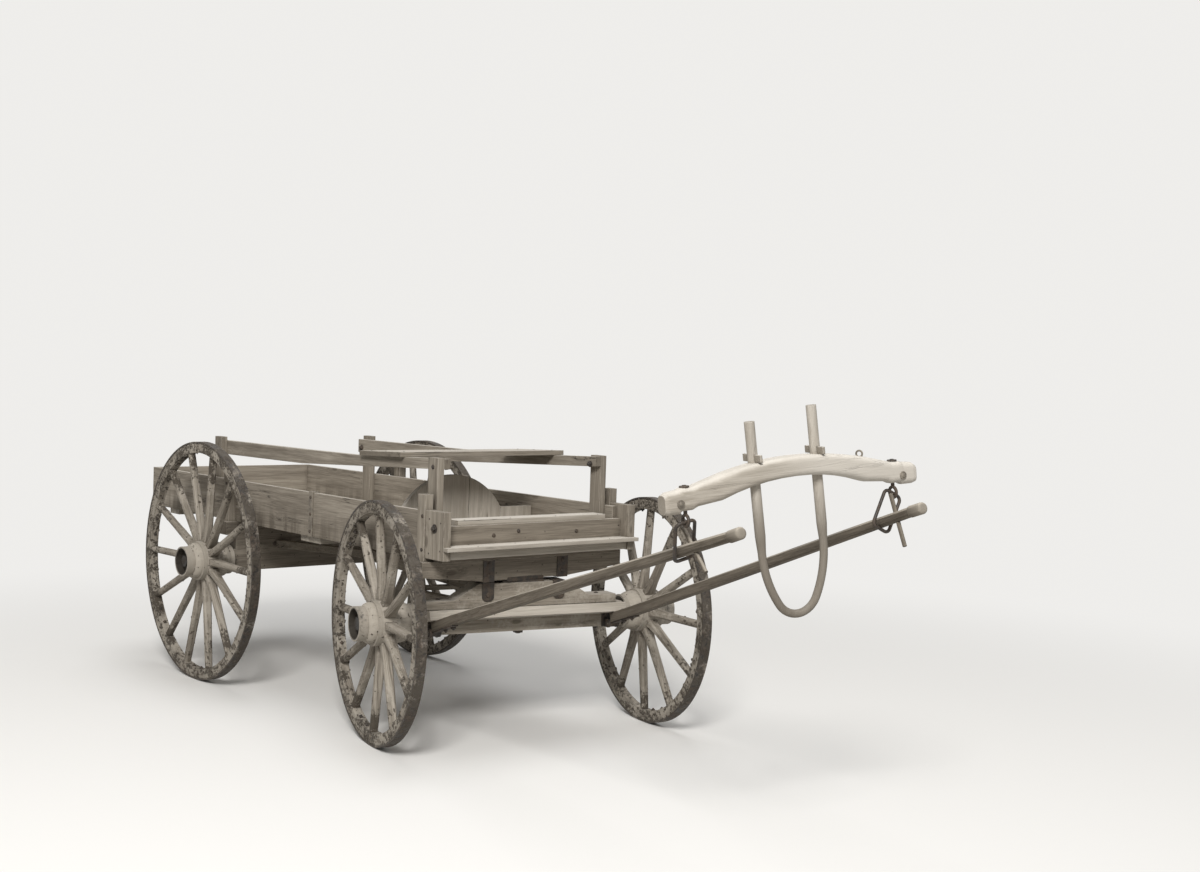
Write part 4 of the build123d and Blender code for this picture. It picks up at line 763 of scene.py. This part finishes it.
def bolt_head(mesh, where, chance, radius=0.0115):
    """The domed head of a carriage bolt."""
    profile = (
        (radius, -0.001), (radius, 0.0010), (0.86 * radius, 0.0034), (0.5 * radius, 0.0052), (0, 0.0058),
    )
    turned(mesh, where, profile, 12, 0.05, chance)


def washer(mesh, where, chance, radius):
    hole = 0.3 * radius
    top = WASHER_THICKNESS
    profile = ((hole, 0.0), (radius, 0.0), (radius, 0.8 * top), (0.95 * radius, top), (hole, top))
    turned(mesh, where, profile, 18, 0.03, chance)


def square_nut(mesh, where, chance, width=0.022, height=0.011):
    """A forged square nut with its corners taken off, and the end of its bolt."""
    corner = width / sqrt(2)
    profile = (
        (corner, -0.0005), (corner, 0.72 * height), (0.86 * corner, height), (0.33 * width, height),
        (0.33 * width, height + 0.0035), (0.24 * width, height + 0.0055), (0, height + 0.006),
    )
    turned(mesh, where, profile[:4], 4, 0.03, chance)
    turned(mesh, where, profile[3:], 10, 0.03, chance)


def bolt_and_nut(mesh, where, chance, washer_radius=0.019):
    washer(mesh, where, chance, washer_radius)
    square_nut(mesh, where @ Matrix.Translation((0, 0, WASHER_THICKNESS)), chance)


def rod(mesh, points, radius, closed=False):
    """A bent rod along points, its sections turned as little as they can be."""
    points = [Vector(point) for point in points]
    count = len(points)
    ahead = []
    for index in range(count):
        before = points[index - 1] if closed or index else points[0]
        after = points[(index + 1) % count] if closed or index < count - 1 else points[-1]
        ahead.append((after - before).normalized())
    across = ahead[0].orthogonal().normalized()
    rings = []
    for point, direction in zip(points, ahead):
        across = (across - direction * across.dot(direction)).normalized()
        other = direction.cross(across)
        ring = []
        for k in range(ROD_SIDES):
            angle = 2 * pi * k / ROD_SIDES
            ring.append(mesh.verts.new(point + radius * (cos(angle) * across + sin(angle) * other)))
        rings.append(ring)
    pairs = list(zip(rings, rings[1:]))
    if closed:
        pairs.append((rings[-1], rings[0]))
    for low, high in pairs:
        for k in range(ROD_SIDES):
            after = (k + 1) % ROD_SIDES
            mesh.faces.new((low[k], low[after], high[after], high[k]))
    if not closed:
        mesh.faces.new(rings[0])
        mesh.faces.new(rings[-1])


def eye(mesh, where, ring_radius, wire, stem, buried):
    """A rod bent into an eye on a short stem, screwed in as deep as it is buried."""
    middle = stem + ring_radius
    angles = [2 * pi * k / EYE_POINTS for k in range(EYE_POINTS)]
    loop = [(ring_radius * cos(angle), 0, middle + ring_radius * sin(angle)) for angle in angles]
    rod(mesh, [where @ Vector(point) for point in loop], wire, closed=True)
    rod(mesh, [where @ Vector((0, 0, height)) for height in (-buried, 0.4 * stem, stem)], wire)


# The box's faces: ahead of the rear axle, off the middle and above the ground, in metres
BOX_REAR, BOX_FRONT, BOX_HALF, INNER_HALF = -1.055, 2.035, 0.535, 0.510
BOX_BOTTOM, FLOOR_TOP, STEP_TOP, FOOT_PLANK_TOP = 0.868, 0.893, 0.948, 1.060
FRONT_FACE, BLOCK_FRONT, BLOCK_SIDE = 2.070, 2.130, 0.575
HEAD_BOARD_REAR, STRAP_MIDDLE, FOOT_PLANK_MIDDLE = 1.340, 0.865, 2.046
BOARD_THICKNESS, HALF_BOARD = 0.025, 0.0125
FLOOR_BOARDS, FLOOR_GAP = 5, 0.004

# Rows of nails: heights at the side boards' ends and at the head board
END_HEIGHTS, HEAD_BOARD_HEIGHTS = (0.915, 0.985, 1.060), (0.915, 0.985, 1.020)
# Columns: how far behind the corner block's front, height
BLOCK_NAILS = ((0.118, 0.912), (0.118, 1.068), (0.030, 0.925), (0.030, 1.058))
# Columns: how far ahead, off the middle
STEP_NAILS = ((2.080, 0.40), (2.150, 0.40), (2.102, 0.15))
FOOT_PLANK_NAILS = (0.40, 0.14)
FRONT_BOARD_NAILS = (0.925, 1.000)
LOWER_BATTEN_NAILS = (0.952, 0.980)
CARRIERS = (-0.990, -0.800, 0.0, 0.780, 0.860, 1.950)
EDGE_NAILS, EDGE_START, EDGE_PITCH = 11, 0.16, 0.275
STRAY = 0.004
UPWARDS, DOWNWARDS, FORWARDS = (0, 0, 1), (0, 0, -1), (1, 0, 0)


def nail_box():
    """Nail heads where the boards are nailed to each other and to what carries them."""
    chance, mesh = start_piece(11)

    def nail(place, out):
        stray = Vector([chance.uniform(-STRAY, STRAY) * (1 - abs(part)) for part in Vector(out)])
        nail_head(mesh, seat(WAGON, Vector(place) + stray, out), chance)

    ends = (
        (BOX_REAR + HALF_BOARD, END_HEIGHTS),
        (HEAD_BOARD_REAR + HALF_BOARD, HEAD_BOARD_HEIGHTS),
        (BOX_FRONT - 0.020, END_HEIGHTS),
    )
    for _, sign in SIDES:
        out = (0, sign, 0)
        for x, heights in ends:
            for z in heights:
                nail((x, sign * BOX_HALF, z), out)
        for step in range(EDGE_NAILS):
            x = BOX_REAR + EDGE_START + EDGE_PITCH * step
            nail((x, sign * BOX_HALF, BOX_BOTTOM + HALF_BOARD), out)
        for behind, z in BLOCK_NAILS:
            nail((BLOCK_FRONT - behind, sign * BLOCK_SIDE, z), out)
        for z in FRONT_BOARD_NAILS:
            nail((FRONT_FACE, sign * (BOX_HALF - HALF_BOARD), z), FORWARDS)
        for x, y in STEP_NAILS:
            nail((x, sign * y, STEP_TOP), UPWARDS)
        for y in FOOT_PLANK_NAILS:
            nail((FOOT_PLANK_MIDDLE, sign * y, FOOT_PLANK_TOP), UPWARDS)
    board = (2 * INNER_HALF - (FLOOR_BOARDS - 1) * FLOOR_GAP) / FLOOR_BOARDS
    for index in range(FLOOR_BOARDS):
        middle = -INNER_HALF + index * (board + FLOOR_GAP) + board / 2
        for x in CARRIERS:
            for share in (-0.32, 0.32):
                nail((x, middle + share * board, FLOOR_TOP), UPWARDS)
        for z in LOWER_BATTEN_NAILS:
            for across in (-0.045, 0.045):
                nail((HEAD_BOARD_REAR + BOARD_THICKNESS, middle + across, z), FORWARDS)
    finish_piece("box_nails", mesh, FORGED, "bed")


# The rails' top edges under the seat: how far ahead and how high at their rear and front, and off the middle
RAIL_REAR_X, RAIL_REAR_TOP, RAIL_FRONT_X, RAIL_FRONT_TOP = 1.200, 1.311, 1.973, 1.341
RAIL_OFF = 0.4575
SEAT_THICKNESS = 0.0245
SEAT_NAILS = (1.310, 1.450, 1.590)


def nail_seat():
    """Nails through the seat into the rails; the seat lies on the rails' slope."""
    chance, mesh = start_piece(12)
    rise = (RAIL_FRONT_TOP - RAIL_REAR_TOP) / (RAIL_FRONT_X - RAIL_REAR_X)
    slope = Vector((-rise, 0, 1)).normalized()
    for _, sign in SIDES:
        for x in SEAT_NAILS:
            height = RAIL_REAR_TOP + rise * (x - RAIL_REAR_X) + SEAT_THICKNESS
            place = (x, sign * RAIL_OFF + chance.uniform(-2 * STRAY, 2 * STRAY), height)
            nail_head(mesh, seat(WAGON, place, slope), chance)
    finish_piece("seat_nails", mesh, FORGED, "bed")


# Columns: how far ahead a rail post stands, height of the bolt that holds its rail
POSTS = ((-0.250, 1.255), (1.933, 1.302))
POST_BOLTS, RAIL_INNER = (0.935, 1.050), 0.440
STAKES, STAKE_FACE, STAKE_BOLTS = (0.0, WHEELBASE + 0.011), BOX_HALF + 0.045, (0.922, 1.078)
STRAP_FACE, STRAP_BOLTS = BOX_HALF + 0.006, (0.895, 0.985, 1.072)
BLOCK_BOLT_X, BLOCK_BOLT_Z = BLOCK_FRONT - 0.074, 1.028
FRONT_BOLT_OFF, FRONT_BOLT_Z = 0.250, 0.985
ODD_BOLT = (FRONT_FACE, -0.105, 1.000)
SMALL_BOLT, FRONT_BOLT = 0.009, 0.010


def bolt_box():
    """Bolts through posts, stakes, corner blocks and straps."""
    chance, mesh = start_piece(13)
    for _, sign in SIDES:
        out = (0, sign, 0)
        block = seat(WAGON, (BLOCK_BOLT_X, sign * BLOCK_SIDE, BLOCK_BOLT_Z), out, any_turn(chance))
        bolt_and_nut(mesh, block, chance, 0.021)
        for x, rail_bolt in POSTS:
            for z in POST_BOLTS:
                bolt_head(mesh, seat(WAGON, (x, sign * BOX_HALF, z), out), chance)
            inner = seat(WAGON, (x, sign * RAIL_INNER, rail_bolt), (0, -sign, 0), any_turn(chance))
            bolt_and_nut(mesh, inner, chance, 0.016)
            bolt_head(mesh, seat(WAGON, (x, sign * INNER_HALF, rail_bolt), out), chance)
        for x in STAKES:
            for z in STAKE_BOLTS:
                bolt_head(mesh, seat(WAGON, (x, sign * STAKE_FACE, z), out), chance, SMALL_BOLT)
        for z in STRAP_BOLTS:
            bolt_head(mesh, seat(WAGON, (STRAP_MIDDLE, sign * STRAP_FACE, z), out), chance, SMALL_BOLT)
        front = seat(WAGON, (FRONT_FACE, sign * FRONT_BOLT_OFF, FRONT_BOLT_Z), FORWARDS)
        bolt_head(mesh, front, chance, FRONT_BOLT)
    bolt_head(mesh, seat(WAGON, ODD_BOLT, FORWARDS), chance, FRONT_BOLT)
    finish_piece("box_bolts", mesh, FORGED, "bed")


# Bolts of the carriage: ahead of the rear axle or the king pin, off the middle and above the ground
CLIP_FACE, CLIP_OFF, CLIP_BOLTS = 0.055, 0.223, (0.785, 0.838)
REAR_BOLT_OFF, REAR_AXLE_UNDER = 0.420, 0.592
REAR_BOLSTER_FACE, REAR_BOLSTER_OFF, REAR_BOLSTER_MIDDLE = 0.050, 0.300, 0.733
AXLE_CLIP_FACE, AXLE_CLIP_OFF, AXLE_CLIP_Z = 0.057, 0.189, 0.684
FRONT_BOLT_FROM_KING, SAND_BOARD_TOP, FRONT_AXLE_UNDER = 0.425, 0.665, 0.505
SWAY_BAR_X, SWAY_BAR_BOLT_OFF, SWAY_BAR_TOP, HOUND_UNDER = -0.575, 0.298, 0.647, 0.585
COUPLING_FACE, COUPLING_OFF, COUPLING_Z, COUPLING_SPREAD = 0.056, 0.4745, 0.565, 0.022


def bolt_bolsters():
    """Bolts of the clips on the front bolster and of the rear bolster."""
    chance, mesh = start_piece(14)
    for _, sign in SIDES:
        for out in (1, -1):
            for z in CLIP_BOLTS:
                place = (WHEELBASE + out * CLIP_FACE, sign * CLIP_OFF, z)
                bolt_head(mesh, seat(WAGON, place, (out, 0, 0)), chance, 0.0105)
        under = seat(WAGON, (0.0, sign * REAR_BOLT_OFF, REAR_AXLE_UNDER), DOWNWARDS, any_turn(chance))
        bolt_and_nut(mesh, under, chance)
        place = (REAR_BOLSTER_FACE, sign * REAR_BOLSTER_OFF, REAR_BOLSTER_MIDDLE)
        bolt_head(mesh, seat(WAGON, place, FORWARDS), chance)
    finish_piece("bolster_bolts", mesh, FORGED, "bed")


def bolt_front_gear():
    """Bolts of the front axle, its sand board, hounds and couplings."""
    chance, mesh = start_piece(15)
    # Columns: how far ahead, off the middle, height of the head, height of the nut
    through = (
        (0.0, FRONT_BOLT_FROM_KING, SAND_BOARD_TOP, FRONT_AXLE_UNDER),
        (SWAY_BAR_X, SWAY_BAR_BOLT_OFF, SWAY_BAR_TOP, HOUND_UNDER),
    )
    for _, sign in SIDES:
        for out in (1, -1):
            place = (out * AXLE_CLIP_FACE, sign * AXLE_CLIP_OFF, AXLE_CLIP_Z)
            bolt_head(mesh, seat(GEAR, place, (out, 0, 0)), chance)
        for x, y, top, under in through:
            bolt_head(mesh, seat(GEAR, (x, sign * y, top), UPWARDS), chance)
            bolt_and_nut(mesh, seat(GEAR, (x, sign * y, under), DOWNWARDS, any_turn(chance)), chance)
        for across in (-COUPLING_SPREAD, COUPLING_SPREAD):
            place = (COUPLING_FACE, sign * COUPLING_OFF + across, COUPLING_Z)
            square_nut(mesh, seat(GEAR, place, FORWARDS, any_turn(chance)), chance, 0.017, 0.008)
    finish_piece("front_gear_bolts", mesh, FORGED, "front_gear")


# The shafts' bolts, in metres from the hinge pin; the shafts draw together towards their tips
SHAFT_OFF, SHAFT_DRAWN_IN, SHAFT_LENGTH = 0.4745, 0.085, 2.538
EYE_BOLT_X, EYE_BOLT_TOP = 0.052, 0.094
SHAFT_BOLTS, SHAFT_IRON_TOP, SHAFT_IRON_UNDER = (0.130, 0.215), 0.049, -0.003


def bolt_shafts():
    """Bolts through the shafts' roots, their irons and the cross bar."""
    chance, mesh = start_piece(16)
    for _, sign in SIDES:
        bolt_head(mesh, seat(SHAFTS, (EYE_BOLT_X, sign * SHAFT_OFF, EYE_BOLT_TOP), UPWARDS), chance)
        for x in SHAFT_BOLTS:
            y = sign * (SHAFT_OFF - SHAFT_DRAWN_IN * x / SHAFT_LENGTH)
            bolt_head(mesh, seat(SHAFTS, (x, y, SHAFT_IRON_TOP), UPWARDS), chance, 0.010)
            under = seat(SHAFTS, (x, y, SHAFT_IRON_UNDER), DOWNWARDS, any_turn(chance))
            square_nut(mesh, under, chance, 0.018, 0.008)
    finish_piece("shaft_bolts", mesh, FORGED, "shafts")


# Places on the yoke, in metres from the beam's middle
BEAM_FACE, BEAM_BOLTS, BEAM_BOLT_Z = 0.0325, (-0.486, 0.476), -0.001
GUIDE_OFF, GUIDE_Z, GUIDE_TURN = 0.303, 0.078, 0.6


def yoke_fittings():
    """Bolts through the beam near its ends and a guide eye on its top."""
    chance, mesh = start_piece(17)
    for across in BEAM_BOLTS:
        washer(mesh, seat(YOKE, (BEAM_FACE, across, BEAM_BOLT_Z), FORWARDS), chance, 0.0150)
        bolt_head(mesh, seat(YOKE, (BEAM_FACE + 0.002, across, BEAM_BOLT_Z), FORWARDS), chance, SMALL_BOLT)
    guide = seat(YOKE, (0.0, GUIDE_OFF, GUIDE_Z), UPWARDS, GUIDE_TURN)
    eye(mesh, guide, ring_radius=0.0115, wire=0.0034, stem=0.005, buried=0.035)
    finish_piece("yoke_fittings", mesh, DUSTY, "shafts")


NUT_FROM_JOINT = 0.045


def felloe_nuts():
    """Nuts of the tyre bolts, on the inside of the felloes on both sides of each joint."""
    for name, wheel in WHEELS.items():
        chance, mesh = start_piece(21 + wheel.spokes + wheel.side)
        inside = inside_rim(wheel)
        for felloe in range(wheel.spokes // 2):
            joint = -wheel.side * pi / wheel.spokes * (1 + 4 * felloe)
            for near in (-NUT_FROM_JOINT, NUT_FROM_JOINT):
                angle = joint + near / inside
                place = (inside * cos(angle), 0.0, inside * sin(angle))
                where = seat(wheel.frame, place, (-cos(angle), 0, -sin(angle)), any_turn(chance))
                square_nut(mesh, where, chance, 0.015, 0.007)
        finish_piece(f"{name}_felloe_nuts", mesh, FORGED, f"{name}_wheel")


# Lumps of mud: how long and how high they are for their size, and the size from which they have finer faces
CLOD_LENGTH, CLOD_HEIGHT, FINE_CLOD = 1.4, 0.55, 0.005


def clod(mesh, where, size, chance):
    """One lump of mud, flattened against what it sticks to."""
    lump = bmesh.ops.create_icosphere(mesh, subdivisions=2 if size > FINE_CLOD else 1, radius=1.0)
    for vertex in lump["verts"]:
        rough = chance.uniform(0.72, 1.2)
        x, y, z = vertex.co
        point = Vector((x * size * CLOD_LENGTH, y * size, z * size * CLOD_HEIGHT)) * rough
        vertex.co = where @ point


def surface_tree(names):
    """The faces of several of the solids, to drop pieces onto."""
    corners, faces = [], []
    for name in names:
        node = nodes[name]
        first = len(corners)
        corners += [node.matrix_world @ vertex.co for vertex in node.data.vertices]
        faces += [[first + index for index in face.vertices] for face in node.data.polygons]
    return BVHTree.FromPolygons(corners, faces)


# The mud is flung at a wheel from this far beside it, and sticks up to just past its middle
FLUNG_FROM, FLUNG_FAR = 0.30, 0.31


def cake_wheels():
    """Mud caked on the wheels: thick on the rims, thinner on spokes and hub, none on the tread."""
    for name, wheel in WHEELS.items():
        chance, mesh = start_piece(41 + wheel.spokes + wheel.side)
        surface = surface_tree([f"{name}_{part}" for part in ("hub", "spokes", "felloes", "tyre")])
        inside = inside_rim(wheel)
        # Columns: lumps tried, radius nearest the hub, radius nearest the rim, smallest lump, largest lump
        for tried, low, high, small, large in (
            (560, inside - 0.004, wheel.radius - 0.003, 0.0040, 0.0115),
            (420, 0.30 * wheel.radius, inside, 0.0025, 0.0065),
            (150, 0.080, 0.22, 0.0025, 0.0060),
        ):
            for _ in range(tried):
                angle = chance.uniform(0, 2 * pi)
                radius = chance.uniform(low, high)
                size = chance.uniform(small, large) * chance.uniform(0.6, 1.0)
                face = chance.choice((-1, 1))
                start = wheel.frame @ Vector((radius * cos(angle), face * FLUNG_FROM, radius * sin(angle)))
                along = wheel.frame.to_3x3() @ Vector((0, -face, 0))
                place, normal = surface.ray_cast(start, along, FLUNG_FAR)[:2]
                if place is None or radius + 1.5 * size > wheel.radius:
                    continue
                clod(mesh, seat(Matrix(), place, normal, any_turn(chance)), size, chance)
        finish_piece(f"{name}_mud", mesh, CLODS, f"{name}_wheel")


# Floor, backdrop and light
BACKDROP = (0.86, 0.85, 0.83)
FLOOR = (0.88, 0.87, 0.85)
FLOOR_BOUNCE = (0.50, 0.49, 0.47)
FLOOR_HALF = 40.0
FLOOR_FADES = (2.2, 6.5)
AMBIENT = 0.32
AIM = Vector((0.2, 0, 0.6))
# Columns: lamp, place, width, power, colour
LAMPS = (
    ("key", (9.6, -9.0, 10.4), 5.0, 2150, (1.0, 0.985, 0.96)),
    ("sky", (-2.5, 2.0, 14.0), 8.0, 520, (0.98, 0.99, 1.0)),
)


def seen_directly(tree):
    """1 for rays that carry the backdrop to the eye: straight, mirrored or through glass."""
    path = add_node(tree, "ShaderNodeLightPath")
    mirrored = calculate(tree, "MAXIMUM", path.outputs["Is Glossy Ray"], path.outputs["Is Transmission Ray"])
    return calculate(tree, "MAXIMUM", path.outputs["Is Camera Ray"], mirrored)


def lay_floor():
    """A pale floor that keeps the shadow near the wagon and runs out into the backdrop."""
    corners = [(x * FLOOR_HALF, y * FLOOR_HALF, 0) for x, y in ((-1, -1), (1, -1), (1, 1), (-1, 1))]
    data = bpy.data.meshes.new("floor")
    data.from_pydata(corners, [], [(0, 1, 2, 3)])
    floor = bpy.data.objects.new("floor", data)
    bpy.context.scene.collection.objects.link(floor)
    material, tree, shader = new_material("pale_floor")
    feed(tree, shader.inputs["Base Color"], blend(tree, seen_directly(tree), FLOOR_BOUNCE, FLOOR))
    shader.inputs["Roughness"].default_value = 0.95
    shader.inputs["Specular IOR Level"].default_value = 0.1
    away = outputs_of(tree, "ShaderNodeVectorMath", object_place(tree), operation="LENGTH")["Value"]
    share = times(tree, ramp(tree, away, *FLOOR_FADES), seen_directly(tree))
    glow = outputs_of(tree, "ShaderNodeEmission", BACKDROP)[0]
    mixed = outputs_of(tree, "ShaderNodeMixShader", share, shader.outputs[0], glow)[0]
    feed(tree, tree.nodes["Material Output"].inputs["Surface"], mixed)
    data.materials.append(material)


def light_studio():
    world = bpy.data.worlds.new("studio")
    world.use_nodes = True
    bpy.context.scene.world = world
    tree = world.node_tree
    ambient = tree.nodes["Background"]
    give(tree, ambient.inputs, Color=(1.0, 0.99, 0.97), Strength=AMBIENT)
    backdrop = outputs_of(tree, "ShaderNodeBackground", BACKDROP, 1.0)[0]
    mixed = outputs_of(tree, "ShaderNodeMixShader", seen_directly(tree), ambient.outputs[0], backdrop)[0]
    feed(tree, tree.nodes["World Output"].inputs["Surface"], mixed)
    for name, place, width, power, colour in LAMPS:
        data = bpy.data.lights.new(name, "AREA")
        data.shape = "DISK"
        data.size = width
        data.energy = power
        data.color = colour
        lamp = bpy.data.objects.new(name, data)
        lamp.location = place
        lamp.rotation_euler = (AIM - Vector(place)).to_track_quat("-Z", "Y").to_euler()
        bpy.context.scene.collection.objects.link(lamp)
    bpy.context.scene.view_settings.view_transform = "Standard"


set_camera()
dress_boards()
dress_side_boards()
dress_sills()
dress_yoke()
dress_shafts()
dress_irons()
dress_wheels()
nail_box()
nail_seat()
bolt_box()
bolt_bolsters()
bolt_front_gear()
bolt_shafts()
yoke_fittings()
felloe_nuts()
cake_wheels()
lay_floor()
light_studio()
